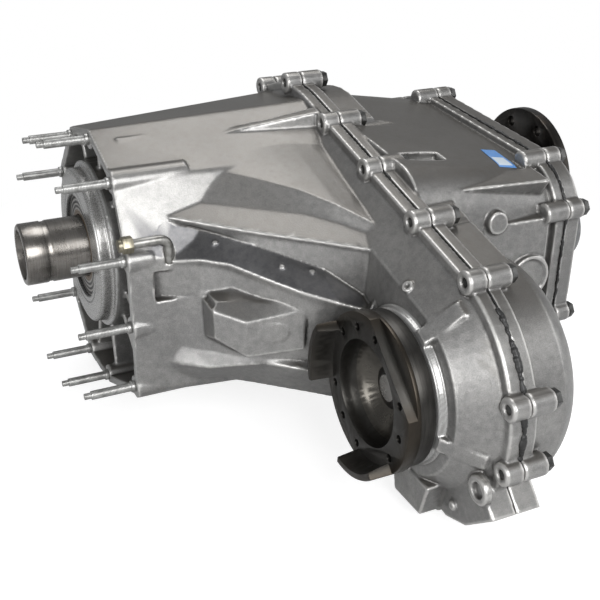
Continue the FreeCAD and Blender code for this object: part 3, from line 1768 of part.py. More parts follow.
def rear_output_flange():
    """The companion flange splined to the main shaft."""
    rear = rear_flange_x + rear_flange_thickness
    body = revolved(
        [
            (rear_hub_front_x, 0),
            (rear_hub_front_x, rear_hub_radius),
            (rear_flange_x - 14, rear_hub_radius),
            (rear_flange_x - 4, rear_hub_radius + 8),
            (rear_flange_x, rear_hub_radius + 12),
            (rear_flange_x, rear_flange_radius - 1),
            (rear_flange_x + 1, rear_flange_radius),
            (rear - 1, rear_flange_radius),
            (rear, rear_flange_radius - 1),
            (rear, rear_pilot_radius),
            (rear - 3, rear_pilot_radius),
            (rear - 3, 0),
        ]
    )
    angles = [360 / rear_flange_holes * (n + 0.5) for n in range(rear_flange_holes)]
    holes = circle_holes(
        rear_flange_x - 1,
        rear + 1,
        main_axis,
        rear_flange_pcd,
        rear_flange_hole_radius,
        angles,
    )
    holes.append(cylinder(rear_hub_front_x - 1, rear + 1, rear_spline_radius))
    holes.append(cylinder(rear_hub_recess_x, rear + 1, rear_hub_recess_radius))
    return body.cut(holes)


def flange_nut(x0, x1, flats, bore, axis):
    """A plain hexagonal flange nut."""
    nut = joined([hexagon(x0, x1, flats, axis), cylinder(x0, x0 + 2, flats * 0.58, axis)])
    return nut.cut(cylinder(x0 - 1, x1 + 1, bore, axis))


def rear_flange_nut():
    """The nut that clamps the rear output flange."""
    return flange_nut(
        rear_hub_recess_x,
        rear_hub_recess_x + rear_nut_height,
        rear_nut_flats,
        rear_thread_radius,
        main_axis,
    )


def front_output_shaft():
    """The front output shaft from its thread to the tail bearing."""
    bowl_floor = front_flange_face_x + bowl_depth
    shapes = [
        cylinder(bowl_floor - front_nut_height - 2, bowl_floor + 1, front_thread_radius, front_axis),
        cylinder(bowl_floor, front_bearing_x, front_spline_radius, front_axis),
        cylinder(front_bearing_x, front_bearing_x + front_bearing_width, front_bearing_inner, front_axis),
        cylinder(
            front_bearing_x + front_bearing_width,
            front_tail_bearing_x - 2,
            front_bearing_inner + 2,
            front_axis,
        ),
        cylinder(
            front_tail_bearing_x - 3,
            front_tail_bearing_x + front_tail_bearing_width,
            front_tail_bearing_inner,
            front_axis,
        ),
    ]
    return joined(shapes)


def front_output_flange():
    """The bowl-shaped flange with its drilled rim, two lips and one flat."""
    face = front_flange_face_x
    floor = face + bowl_depth
    rim = front_flange_outer
    lip_front = face - lip_reach
    blank = revolved(
        [
            (face, bowl_radius),
            (face, lip_inner_radius),
            (lip_front, lip_inner_radius + 3),
            (lip_front, rim - 1),
            (lip_front + 2, rim),
            (face + rim_depth, rim),
            (face + rim_depth, slinger_seat_radius),
            (slinger_plate_x + slinger_wall + 2, slinger_seat_radius),
            (front_collar_x - 3, front_bearing_outer - 3),
            (floor + 2, front_hub_radius + 4),
            (floor + 4, front_hub_radius),
            (front_bearing_x, front_hub_radius),
            (front_bearing_x, front_spline_radius),
            (floor, front_spline_radius),
            (floor - 2, bowl_radius * 0.5),
            (face + bowl_depth * 0.62, bowl_radius * 0.86),
            (face + bowl_depth * 0.3, bowl_radius * 0.98),
        ],
        front_axis,
    )
    cuts = []
    open_sweep = 360 / len(front_flange_skip)
    for index, angle in enumerate(front_flange_skip):
        first = angle + lip_sweep / 2 if angle in lip_angles else angle - open_sweep / 2
        last = angle + open_sweep - lip_sweep / 2
        following = front_flange_skip[(index + 1) % len(front_flange_skip)]
        if following not in lip_angles:
            last = angle + open_sweep
        cuts.append(ring_sector(lip_front - 1, face, rim + 2, bowl_radius - 2, first, last))
    middle = polar(front_axis, flange_cut_reach + rim, flange_cut_angle)
    chord = radial_web(
        lip_front - 1,
        face + rim_cut_depth,
        polar(front_axis, flange_cut_reach, flange_cut_angle),
        middle,
        rim * 2,
    )
    cuts.append(chord)
    angles = [angle + step * 30 for angle in front_flange_skip for step in (1, 2, 3)]
    cuts += circle_holes(
        face - 1,
        face + rim_depth + 1,
        front_axis,
        front_flange_pcd,
        front_flange_hole_radius,
        angles,
    )
    return blank.cut(cuts)


def ring_sector(x0, x1, outer, inner, first, last):
    """A sector of a ring round the front axis, between two angles."""
    steps = 6
    angles = [first + (last - first) * n / steps for n in range(steps + 1)]
    reach = outer / math.cos(math.radians((last - first) / steps / 2))
    corners = [polar(front_axis, reach, a) for a in angles] + [
        polar(front_axis, inner, a)
        for a in reversed(angles)
    ]
    return prism(corners, x0, x1)


def front_flange_nut():
    """The nut in the bowl that clamps the front output flange."""
    floor = front_flange_face_x + bowl_depth
    return flange_nut(floor - front_nut_height, floor, front_nut_flats, front_thread_radius, front_axis)


def front_slinger():
    """The pressed dust shield behind the front output flange."""
    plate = tube(
        slinger_plate_x,
        slinger_plate_x + slinger_wall,
        slinger_radius - 1,
        slinger_seat_radius,
        front_axis,
    )
    skirt = tube(
        slinger_front_x,
        slinger_front_x + slinger_width,
        slinger_radius,
        slinger_radius - slinger_wall,
        front_axis,
    )
    return joined([plate, skirt])


def parts():
    """Every node's name and shape."""
    input_outer, input_inner, input_balls = ball_bearing(
        input_bearing_x, input_bearing_width, input_bearing_outer, journal_radius
    )
    rear_outer, rear_inner, rear_balls = ball_bearing(
        rear_bearing_x, rear_bearing_width, rear_bearing_outer, rear_bearing_inner
    )
    front_outer, front_inner, front_balls = ball_bearing(
        front_bearing_x, front_bearing_width, front_bearing_outer, front_bearing_inner, front_axis
    )
    nodes = {
        "front_case": front_case(),
        "rear_case": rear_case(),
        "rear_cover": rear_cover(),
        "front_seam_sealant": front_seam_sealant(),
        "rear_seam_sealant": rear_seam_sealant(),
        "adapter_studs": adapter_studs(),
        "case_bolts": case_bolts(),
        "cover_bolts": cover_bolts(),
        "locating_dowels": locating_dowels(),
        "input_shaft": input_shaft(),
        "input_bearing_outer_race": input_outer,
        "input_bearing_inner_race": input_inner,
        "input_bearing_balls": input_balls,
        "input_seal": lip_seal(
            input_seal_x,
            input_seal_width,
            input_bearing_outer,
            sleeve_radius + shaft_fit,
        ),
        "pilot_bearing": pilot_bearing(),
        "ring_gear": ring_gear(),
        "planet_carrier": planet_carrier(),
        "planet_pins": planet_pins(),
        "range_collar": range_collar(),
        "main_shaft": main_shaft(),
        "mode_hub": mode_hub(),
        "mode_collar": mode_collar(),
        "range_fork": range_fork(),
        "mode_fork": mode_fork(),
        "shift_rail": shift_rail(),
        "rail_follower": rail_follower(),
        "shift_drum": shift_drum(),
        "shift_motor": shift_motor(),
        "motor_bolts": motor_bolts(),
        "drive_sprocket": drive_sprocket(),
        "drive_sprocket_bearing": drive_sprocket_bearing(),
        "driven_sprocket": driven_sprocket(),
        "drive_chain": drive_chain(),
        "oil_pump_housing": oil_pump_housing(),
        "oil_pump_rotor": oil_pump_rotor(),
        "oil_pickup_tube": oil_pickup_tube(),
        "oil_strainer": oil_strainer(),
        "tone_ring": tone_ring(),
        "speed_sensor": speed_sensor(),
        "rear_bearing_outer_and_balls": Part.makeCompound([rear_outer, rear_balls]),
        "rear_bearing_inner_race": rear_inner,
        "rear_output_seal": lip_seal(
            snout_rear_x - rear_seal_width, rear_seal_width, rear_bearing_outer, rear_hub_radius + shaft_fit
        ),
        "rear_output_flange": rear_output_flange(),
        "rear_flange_nut": rear_flange_nut(),
        "front_output_shaft": front_output_shaft(),
        "front_bearing_outer_and_balls": Part.makeCompound([front_outer, front_balls]),
        "front_bearing_inner_race": front_inner,
        "tail_bearing": tail_bearing(),
        "front_output_seal": lip_seal(
            front_seal_x, front_seal_width, front_bearing_outer, front_hub_radius + shaft_fit, front_axis
        ),
        "front_output_flange": front_output_flange(),
        "front_flange_nut": front_flange_nut(),
        "front_slinger": front_slinger(),
        "drain_plug": drain_plug(),
        "fill_plug": fill_plug(),
        "vent_elbow": vent_elbow(),
        "vent_cap": vent_cap(),
    }
    for index in range(planet_count):
        nodes[f"planet_gear_{index + 1}"] = planet_gear(index)
    return nodes


os.makedirs("parts", exist_ok=True)
for node, shape in parts().items():
    shape.exportStep(f"parts/{node}.step")
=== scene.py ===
"""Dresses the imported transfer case: castings, flanges, shafts, fasteners, seals and the studio."""

import json
import logging
import math
from collections.abc import Mapping, Sequence
from dataclasses import dataclass, field
from enum import Enum
from functools import cached_property

import bmesh
import bpy
import numpy as np
from mathutils import Matrix, Vector, noise
from mathutils.bvhtree import BVHTree

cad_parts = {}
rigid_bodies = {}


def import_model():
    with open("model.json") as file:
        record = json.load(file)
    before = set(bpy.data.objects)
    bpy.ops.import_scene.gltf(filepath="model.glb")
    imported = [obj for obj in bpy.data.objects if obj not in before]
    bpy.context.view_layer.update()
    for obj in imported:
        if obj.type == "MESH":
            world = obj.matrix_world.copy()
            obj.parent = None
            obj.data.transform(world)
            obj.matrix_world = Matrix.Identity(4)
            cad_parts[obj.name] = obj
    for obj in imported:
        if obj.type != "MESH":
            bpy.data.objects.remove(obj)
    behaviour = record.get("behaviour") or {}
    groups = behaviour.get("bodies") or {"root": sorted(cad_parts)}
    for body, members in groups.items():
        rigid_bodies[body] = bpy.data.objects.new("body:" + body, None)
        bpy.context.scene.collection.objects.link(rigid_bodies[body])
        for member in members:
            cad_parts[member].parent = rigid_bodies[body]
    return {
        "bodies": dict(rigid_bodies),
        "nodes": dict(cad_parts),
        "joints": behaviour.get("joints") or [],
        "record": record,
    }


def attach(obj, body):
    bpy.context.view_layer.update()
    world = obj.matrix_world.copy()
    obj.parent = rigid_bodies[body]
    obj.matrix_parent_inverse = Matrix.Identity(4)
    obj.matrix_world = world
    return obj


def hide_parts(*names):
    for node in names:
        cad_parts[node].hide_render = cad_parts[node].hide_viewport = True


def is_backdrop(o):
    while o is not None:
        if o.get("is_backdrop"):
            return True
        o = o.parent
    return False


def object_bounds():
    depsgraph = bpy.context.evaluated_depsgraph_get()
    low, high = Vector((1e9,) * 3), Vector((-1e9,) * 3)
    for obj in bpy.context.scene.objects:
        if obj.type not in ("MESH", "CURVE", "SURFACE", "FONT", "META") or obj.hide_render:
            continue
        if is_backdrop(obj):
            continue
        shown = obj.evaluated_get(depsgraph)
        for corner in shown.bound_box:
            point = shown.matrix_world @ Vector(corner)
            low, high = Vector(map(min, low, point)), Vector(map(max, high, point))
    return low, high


log = logging.getLogger("transfer_case")

Rgb = tuple[float, float, float]
Pair = tuple[float, float]
Triple = tuple[float, float, float]

# The numbers that a casting's mesh carries at each point for its finish.
EDGE = "edge"
UPWARD = "upward"
RECESS_SHADE = "recess_shade"

# The front output's line, which runs along X as the main shaft's does.
FRONT_Y = -0.27507
FRONT_Z = -0.049

# What lies on that side of this Y is on the near side.
NEAR_SIDE_Y = -0.1

WHITE: Rgb = (1.0, 1.0, 1.0)
FULL_TURN = 2.0 * math.pi
WELD = 1e-6
TINY = 1e-12


class Axis(Enum):
    """The two shaft lines that turned pieces stand on, and the upright one in the floor's middle."""

    MAIN = Vector((0.0, 0.0, 0.0))
    FRONT = Vector((0.0, FRONT_Y, FRONT_Z))
    FLOOR = Vector((0.21, -0.12, 0.0))


class Value:
    """A shader number that can be used in Python expressions."""

    def __init__(self, shader: "Shader", socket: bpy.types.NodeSocket) -> None:
        """Keep the tree and the output that carries the number."""
        self.shader = shader
        self.socket = socket

    def _math(self, operation: str, first: "Value | float", second: "Value | float") -> "Value":
        """Add a Math node on two operands, and give its result as a new number."""
        made = self.shader.node("ShaderNodeMath", {"operation": operation}, {0: first, 1: second})
        return Value(self.shader, made.outputs[0])

    def __add__(self, other: "Value | float") -> "Value":
        """Sum."""
        return self._math("ADD", self, other)

    def __radd__(self, other: float) -> "Value":
        """Sum with a plain number first."""
        return self._math("ADD", other, self)

    def __sub__(self, other: "Value | float") -> "Value":
        """Difference."""
        return self._math("SUBTRACT", self, other)

    def __rsub__(self, other: float) -> "Value":
        """Difference from a plain number."""
        return self._math("SUBTRACT", other, self)

    def __mul__(self, other: "Value | float") -> "Value":
        """Product."""
        return self._math("MULTIPLY", self, other)

    def __rmul__(self, other: float) -> "Value":
        """Product with a plain number first."""
        return self._math("MULTIPLY", other, self)

    def __pow__(self, other: "Value | float") -> "Value":
        """Power."""
        return self._math("POWER", self, other)

    def __lt__(self, other: "Value | float") -> "Value":
        """One where this is less."""
        return self._math("LESS_THAN", self, other)

    def __gt__(self, other: "Value | float") -> "Value":
        """One where this is greater."""
        return self._math("GREATER_THAN", self, other)

    def at_least(self, other: "Value | float") -> "Value":
        """The larger of the two."""
        return self._math("MAXIMUM", self, other)

    def sine(self) -> "Value":
        """Sine of an angle in radians."""
        return self._math("SINE", self, 0.0)

    def root(self) -> "Value":
        """Square root."""
        return self._math("SQRT", self, 0.0)

    def ramp(self, low: float, high: float) -> "Value":
        """A smooth step from 0 at low to 1 at high.

        Args:
            low: Where the step starts.
            high: Where the step ends.

        Returns:
            The step as a new number.
        """
        made = self.shader.node(
            "ShaderNodeMapRange",
            {"interpolation_type": "SMOOTHSTEP"},
            {"Value": self, "From Min": low, "From Max": high, "To Min": 0.0, "To Max": 1.0},
        )
        return Value(self.shader, made.outputs["Result"])


class Shader:
    """The node tree of one finish, or of the world."""

    def __init__(self, name: str, world: bool = False) -> None:
        """Start an empty material or world.

        Args:
            name: Its name.
            world: Whether it is a world.
        """
        self.owner = (bpy.data.worlds if world else bpy.data.materials).new(name)
        self.owner.use_nodes = True
        self.tree = self.owner.node_tree
        self.tree.nodes.clear()
        self.output = self.tree.nodes.new("ShaderNodeOutputWorld" if world else "ShaderNodeOutputMaterial")

    @cached_property
    def place(self) -> bpy.types.NodeSocket:
        """The object coordinates, in metres."""
        return self.node("ShaderNodeTexCoord").outputs["Object"]

    def node(
        self,
        kind: str,
        settings: Mapping[str, object] | None = None,
        inputs: Mapping[str | int, object] | None = None,
    ) -> bpy.types.Node:
        """Add a node.

        Args:
            kind: The node's type.
            settings: Properties, which are set first.
            inputs: Values or links of the sockets, by name or number.

        Returns:
            The node.
        """
        made = self.tree.nodes.new(kind)
        for key, setting in (settings or {}).items():
            setattr(made, key, setting)
        for key, given in (inputs or {}).items():
            socket = made.inputs[key]
            if isinstance(given, Value):
                self.tree.links.new(given.socket, socket)
            elif isinstance(given, bpy.types.NodeSocket):
                self.tree.links.new(given, socket)
            elif isinstance(given, tuple) and len(given) == 3 and socket.type == "RGBA":
                socket.default_value = (*given, 1.0)
            else:
                socket.default_value = given
        return made

    def value(self, socket: bpy.types.NodeSocket) -> Value:
        """Wrap a socket as a number."""
        return Value(self, socket)

    def axes(self) -> tuple[Value, Value, Value]:
        """The object coordinates X, Y and Z in metres."""
        parts = self.node("ShaderNodeSeparateXYZ", inputs={0: self.place})
        return self.value(parts.outputs[0]), self.value(parts.outputs[1]), self.value(parts.outputs[2])

    def scaled(self, scale: Triple) -> bpy.types.NodeSocket:
        """The object coordinates times a factor along X, Y and Z."""
        made = self.node("ShaderNodeVectorMath", {"operation": "MULTIPLY"}, {0: self.place, 1: scale})
        return made.outputs[0]

    def noise(
        self,
        scale: float,
        detail: float = 3.0,
        rough: float = 0.5,
        at: bpy.types.NodeSocket | None = None,
        warp: float = 0.0,
    ) -> Value:
        """Fractal noise around 0.5.

        Args:
            scale: Features per metre.
            detail: The number of octaves.
            rough: How strong the fine octaves are.
            at: The vector to read, or the object coordinates.
            warp: The distortion.

        Returns:
            The noise as a number.
        """
        made = self.node(
            "ShaderNodeTexNoise",
            inputs={
                "Vector": at or self.place,
                "Scale": scale,
                "Detail": detail,
                "Roughness": rough,
                "Distortion": warp,
            },
        )
        return self.value(made.outputs["Fac"])

    def attribute(self, name: str) -> Value:
        """A number that the mesh carries under a name, 0 where it carries none."""
        return self.value(self.node("ShaderNodeAttribute", {"attribute_name": name}).outputs["Fac"])

    def cells(self, scale: float) -> Value:
        """The distance to the nearest cell's middle, in a pattern of so many cells per metre."""
        made = self.node("ShaderNodeTexVoronoi", {"feature": "F1"}, {"Vector": self.place, "Scale": scale})
        return self.value(made.outputs["Distance"])

    def colour(
        self,
        factor: Value | float,
        first: Rgb | bpy.types.NodeSocket,
        second: Rgb | bpy.types.NodeSocket,
        blend: str = "MIX",
    ) -> bpy.types.NodeSocket:
        """Mix two colours.

        Args:
            factor: How much of the second shows.
            first: A colour or a link.
            second: A colour or a link.
            blend: The way they are blended.

        Returns:
            The mixed colour.
        """
        made = self.node(
            "ShaderNodeMix",
            {"data_type": "RGBA", "blend_type": blend, "clamp_factor": True},
            {0: factor, 6: first, 7: second},
        )
        return made.outputs[2]

    def bump(self, height: Value, distance: float, strength: float) -> bpy.types.NodeSocket:
        """The normal of a height from 0 to 1 that measures a distance in metres."""
        inputs = {"Height": height, "Distance": distance, "Strength": strength}
        return self.node("ShaderNodeBump", inputs=inputs).outputs["Normal"]

    def finish(self, **sockets: object) -> bpy.types.Material:
        """Close the tree with a surface whose inputs are named with _ for a space."""
        named = {key.replace("_", " "): given for key, given in sockets.items()}
        return self.show(self.node("ShaderNodeBsdfPrincipled", inputs=named))

    def show(self, surface: bpy.types.Node) -> bpy.types.ID:
        """Link a node's first output to the tree's end, and give the material or world."""
        self.tree.links.new(surface.outputs[0], self.output.inputs["Surface"])
        return self.owner


def radius_from(shader: Shader, axis: Axis) -> Value:
    """The distance from a shaft line, in metres.

    Args:
        shader: The tree to add to.
        axis: The shaft line.

    Returns:
        The distance.
    """
    along, across, up = shader.axes()
    if axis is Axis.FLOOR:
        return ((along - axis.value.x) ** 2.0 + (across - axis.value.y) ** 2.0).root()
    return ((across - axis.value.y) ** 2.0 + (up - axis.value.z) ** 2.0).root()


@dataclass(frozen=True)
class CastAluminium:
    """Sand-cast aluminium with bright machined faces and faint stains, painted shade on faces that point up,
    in creases and in the recess under the long fin, and painted highlights on lips.

    Lengths are in metres, and a pattern's scale is in features per metre.
    """

    light: Rgb = (0.285, 0.281, 0.275)
    dark: Rgb = (0.19, 0.188, 0.187)
    speck: tuple[Rgb, Rgb] = ((0.15, 0.15, 0.15), (0.92, 0.92, 0.9))
    stain: Rgb = (0.13, 0.12, 0.105)
    # Painted shade: the colour that up-facing faces are darkened towards.
    dust_and_top_shade: Rgb = (0.098, 0.090, 0.079)
    # Painted shade in the recess under the long fin.
    recess_shade_colour: Rgb = (0.070, 0.070, 0.075)
    # Painted highlight on the convex lips.
    lip: Rgb = (0.62, 0.61, 0.59)
    # Painted shade in the concave creases.
    crease: Rgb = (0.075, 0.072, 0.068)
    bright: Rgb = (0.42, 0.42, 0.415)
    tool_mark: Rgb = (0.28, 0.275, 0.265)
    groove: Rgb = (0.035, 0.034, 0.033)
    broad_scale: float = 11.0
    stain_scale: float = 17.0
    cloud_scale: float = 170.0
    pit_scale: float = 640.0
    fine_scale: float = 1300.0
    grain: float = 0.00014
    rough: float = 0.37
    gearbox_face_x: float = 0.0006
    retainer_x: float = 0.0036
    retainer_radius: float = 0.0785
    collar_x: Pair = (0.150, 0.1775)
    collar_radius: float = 0.0655
    groove_x: float = -0.0080
    groove_radii: Triple = (0.0490, 0.0525, 0.0545)
    tool_mark_rate: float = 4200.0

    def skin(self, shader: Shader, cloud: Value, fine: Value, marks: Value) -> bpy.types.NodeSocket:
        """The colour of the cast surface, with its painted shade and painted highlights.

        Args:
            shader: The tree to add to.
            cloud: The pattern of a few millimetres.
            fine: The pattern of the sand grains.
            marks: How stained the surface is.

        Returns:
            The colour.
        """
        tone = (shader.noise(self.broad_scale, 4.0, 0.55) * 0.6 + cloud * 0.4).ramp(0.36, 0.66)
        base = shader.colour(tone, self.dark, self.light)
        base = shader.colour(0.5, base, shader.colour((fine - 0.5) * 1.5 + 0.5, *self.speck), "OVERLAY")
        base = shader.colour(marks, base, self.stain)
        # Painted shade: the more a face points up, the darker and warmer it is painted.
        top_shade = shader.attribute(UPWARD).ramp(0.6, 0.95) * (0.72 + (cloud - 0.5) * 0.6)
        base = shader.colour(top_shade, base, self.dust_and_top_shade)
        # Painted shade in the recess under the long fin, uneven with the cloud pattern.
        recess_shaded = shader.attribute(RECESS_SHADE) * (0.8 + (cloud - 0.5) * 0.8)
        base = shader.colour(recess_shaded, base, self.recess_shade_colour)
        bulge = shader.attribute(EDGE)
        # Painted highlight: convex lips are lightened.
        base = shader.colour(bulge.ramp(0.14, 0.8) * 0.6, base, self.lip)
        # Painted shade: concave creases are darkened.
        return shader.colour((0.0 - bulge).ramp(0.08, 0.7) * 0.7, base, self.crease)

    def material(self) -> bpy.types.Material:
        """Build the finish.

        Returns:
            The material.
        """
        shader = Shader("cast_aluminium")
        along, _, _ = shader.axes()
        radius = radius_from(shader, Axis.MAIN)
        cloud = shader.noise(self.cloud_scale, 4.0, 0.6)
        fine = shader.noise(self.fine_scale, 3.0, 0.7)
        marks = (shader.noise(self.stain_scale, 5.0, 0.7, warp=0.8) - 0.6).ramp(0.0, 0.14) * 0.35
        base = self.skin(shader, cloud, fine, marks)
        retainer = (radius < self.retainer_radius) * (along < self.retainer_x)
        collar = radius_from(shader, Axis.FRONT) < self.collar_radius
        collar = collar * (along > self.collar_x[0]) * (along < self.collar_x[1])
        machined = (along < self.gearbox_face_x) + retainer + collar
        circling = (radius * self.tool_mark_rate).sine() * 0.5 + 0.5
        turned = shader.colour(circling * 0.5 + fine * 0.5, self.bright, self.tool_mark)
        base = shader.colour(machined, base, turned)
        inner, near, far = self.groove_radii
        grooves = ((radius > near) * (radius < far) + (radius < inner)) * (along < self.groove_x)
        base = shader.colour(grooves * 0.85, base, self.groove)
        height = fine * 0.55 + shader.cells(self.pit_scale) * 0.3 + cloud * 0.5
        normal = shader.bump(height * (1.0 - machined * 0.9), self.grain, 0.9)
        rough = self.rough + (fine - 0.5) * 0.35 + marks * 0.2 - machined * 0.05
        return shader.finish(Base_Color=base, Metallic=0.7, Roughness=rough, Normal=normal)


@dataclass(frozen=True)
class TurnedSteel:
    """Steel turned or ground round X, with rings of tool marks."""

    name: str
    light: Rgb
    dark: Rgb
    rough: float = 0.28
    metallic: float = 1.0
    ring_depth: float = 0.00003
    rust: float = 0.0
    rust_colour: Rgb = (0.09, 0.055, 0.03)
    ring_scale: float = 1500.0
    ring_stretch: Triple = (1.0, 0.03, 0.03)
    smear_scale: float = 38.0
    fine_scale: float = 2600.0

    def material(self) -> bpy.types.Material:
        """Build the finish.

        Returns:
            The material.
        """
        shader = Shader(self.name)
        rings = shader.noise(self.ring_scale, 3.0, 0.6, shader.scaled(self.ring_stretch))
        smear = shader.noise(self.smear_scale, 4.0, 0.6)
        fine = shader.noise(self.fine_scale, 2.0, 0.5)
        base = shader.colour((rings * 0.5 + smear * 0.5).ramp(0.3, 0.7), self.dark, self.light)
        worn = (smear - 0.55).ramp(0.0, 0.2) * self.rust
        base = shader.colour(worn, base, self.rust_colour)
        normal = shader.bump(rings * 0.7 + fine * 0.3, self.ring_depth, 0.6)
        rough = self.rough + (smear - 0.5) * 0.22 + worn * 0.3
        return shader.finish(Base_Color=base, Metallic=self.metallic, Roughness=rough, Normal=normal)


@dataclass(frozen=True)
class FlangeSteel:
    """Dark forged steel, smooth in the bowl and slightly brown on the rim."""

    bowl: Rgb = (0.090, 0.084, 0.074)
    face: Rgb = (0.052, 0.050, 0.046)
    rim: Rgb = (0.044, 0.037, 0.029)
    smudge: Rgb = (0.02, 0.018, 0.016)
    bowl_radius: float = 0.0405
    bowl_floor_x: float = 0.10
    rim_radius: float = 0.055
    rim_fade: float = 0.012
    smear_scale: float = 45.0
    fine_scale: float = 1900.0
    grain: float = 0.00005

    def material(self) -> bpy.types.Material:
        """Build the finish.

        Returns:
            The material.
        """
        shader = Shader("flange_steel")
        along, _, _ = shader.axes()
        radius = radius_from(shader, Axis.FRONT)
        smear = shader.noise(self.smear_scale, 4.0, 0.6)
        fine = shader.noise(self.fine_scale, 3.0, 0.6)
        inside = (radius < self.bowl_radius) * (along > self.bowl_floor_x)
        base = shader.colour((radius - self.rim_radius).ramp(0.0, self.rim_fade), self.face, self.rim)
        base = shader.colour(inside, base, self.bowl)
        base = shader.colour(smear.ramp(0.4, 0.75) * 0.5, base, self.smudge)
        normal = shader.bump(fine * (1.0 - inside * 0.8), self.grain, 0.6)
        rough = 0.36 + (smear - 0.5) * 0.25 - inside * 0.05
        return shader.finish(Base_Color=base, Metallic=0.9, Roughness=rough, Normal=normal)


@dataclass(frozen=True)
class SealRings:
    """An oil seal: a steel cup, a dark groove and a rubber lip round the sleeve."""

    cup: Rgb = (0.30, 0.29, 0.275)
    rubber: Rgb = (0.02, 0.02, 0.02)
    worn: Rgb = (0.12, 0.085, 0.055)
    worn_radius: float = 0.0335
    rib_pitch: float = 0.0042
    rib_depth: float = 0.0008
    fine_scale: float = 1400.0

    def material(self) -> bpy.types.Material:
        """Build the finish.

        Returns:
            The material.
        """
        shader = Shader("seal_rings")
        radius = radius_from(shader, Axis.MAIN)
        fine = shader.noise(self.fine_scale, 3.0, 0.6)
        ribs = (radius * (FULL_TURN / self.rib_pitch)).sine() * 0.5 + 0.5
        base = shader.colour(ribs.ramp(0.45, 0.75), self.rubber, self.cup)
        base = shader.colour(radius < self.worn_radius, base, self.worn)
        normal = shader.bump(ribs * 0.9 + fine * 0.1, self.rib_depth, 0.8)
        rough = 0.42 + (fine - 0.5) * 0.2
        return shader.finish(Base_Color=base, Metallic=0.5, Roughness=rough, Normal=normal)


@dataclass(frozen=True)
class PlatedSteel:
    """Plated or plain steel fasteners; a pitch gives them a thread in front of the gearbox face."""

    name: str
    light: Rgb
    dark: Rgb
    thread_pitch: float = 0.0
    # Painted shade in the thread roots.
    thread_root_shade: Rgb = (0.14, 0.138, 0.13)
    thread_depth: float = 0.00012
    thread_x: float = -0.006
    grain: float = 0.00005
    cloud_scale: float = 120.0
    fine_scale: float = 1800.0

    def material(self) -> bpy.types.Material:
        """Build the finish.

        Returns:
            The material.
        """
        shader = Shader(self.name)
        cloud = shader.noise(self.cloud_scale, 4.0, 0.6)
        fine = shader.noise(self.fine_scale, 3.0, 0.6)
        base = shader.colour(cloud.ramp(0.35, 0.65), self.dark, self.light)
        height, depth = fine * 0.3, self.grain
        if self.thread_pitch:
            along, _, _ = shader.axes()
            turns = (along * (FULL_TURN / self.thread_pitch)).sine() * 0.5 + 0.5
            threaded = along < self.thread_x
            # Painted shade: the thread roots are darkened along with the bump.
            base = shader.colour((1.0 - turns) * threaded * 0.4, base, self.thread_root_shade)
            height, depth = height * 0.3 + turns * threaded, self.thread_depth
        normal = shader.bump(height, depth, 0.7)
        rough = 0.40 + (cloud - 0.5) * 0.25
        return shader.finish(Base_Color=base, Metallic=0.85, Roughness=rough, Normal=normal)


@dataclass(frozen=True)
class Rubber:
    """Black rubber, plastic or silicone with a soft grain."""

    name: str
    base: Rgb
    dust_and_top_shade: Rgb
    rough: float = 0.5
    grain: float = 0.00006
    cloud_scale: float = 70.0
    fine_scale: float = 1600.0

    def material(self) -> bpy.types.Material:
        """Build the finish.

        Returns:
            The material.
        """
        shader = Shader(self.name)
        cloud = shader.noise(self.cloud_scale, 4.0, 0.6)
        fine = shader.noise(self.fine_scale, 3.0, 0.6)
        base = shader.colour(cloud.ramp(0.42, 0.75), self.base, self.dust_and_top_shade)
        normal = shader.bump(fine, self.grain, 0.7)
        rough = self.rough + (cloud - 0.5) * 0.25
        return shader.finish(Base_Color=base, Roughness=rough, Normal=normal)


@dataclass(frozen=True)
class LabelFoil:
    """A bare foil: a blue band over a pale field."""

    band: Rgb = (0.10, 0.25, 0.55)
    field_colour: Rgb = (0.55, 0.62, 0.68)
    scuffed: Rgb = (0.5, 0.5, 0.48)
    field_width: Pair = (0.08, 0.86)
    field_height: Pair = (0.08, 0.52)
    scuff_scale: float = 260.0
    scuff_depth: float = 0.00003

    def material(self) -> bpy.types.Material:
        """Build the finish.

        Returns:
            The material.
        """
        shader = Shader("label_foil")
        sheet = shader.node("ShaderNodeSeparateXYZ", inputs={0: shader.node("ShaderNodeUVMap").outputs[0]})
        wide, high = shader.value(sheet.outputs[0]), shader.value(sheet.outputs[1])
        scuff = shader.noise(self.scuff_scale, 4.0, 0.65)
        inner = (wide > self.field_width[0]) * (wide < self.field_width[1])
        inner = inner * (high > self.field_height[0]) * (high < self.field_height[1])
        base = shader.colour(inner, self.band, self.field_colour)
        base = shader.colour(scuff.ramp(0.6, 0.72) * 0.4, base, self.scuffed)
        normal = shader.bump(scuff, self.scuff_depth, 0.5)
        return shader.finish(Base_Color=base, Roughness=0.35 + (scuff - 0.5) * 0.3, Normal=normal)


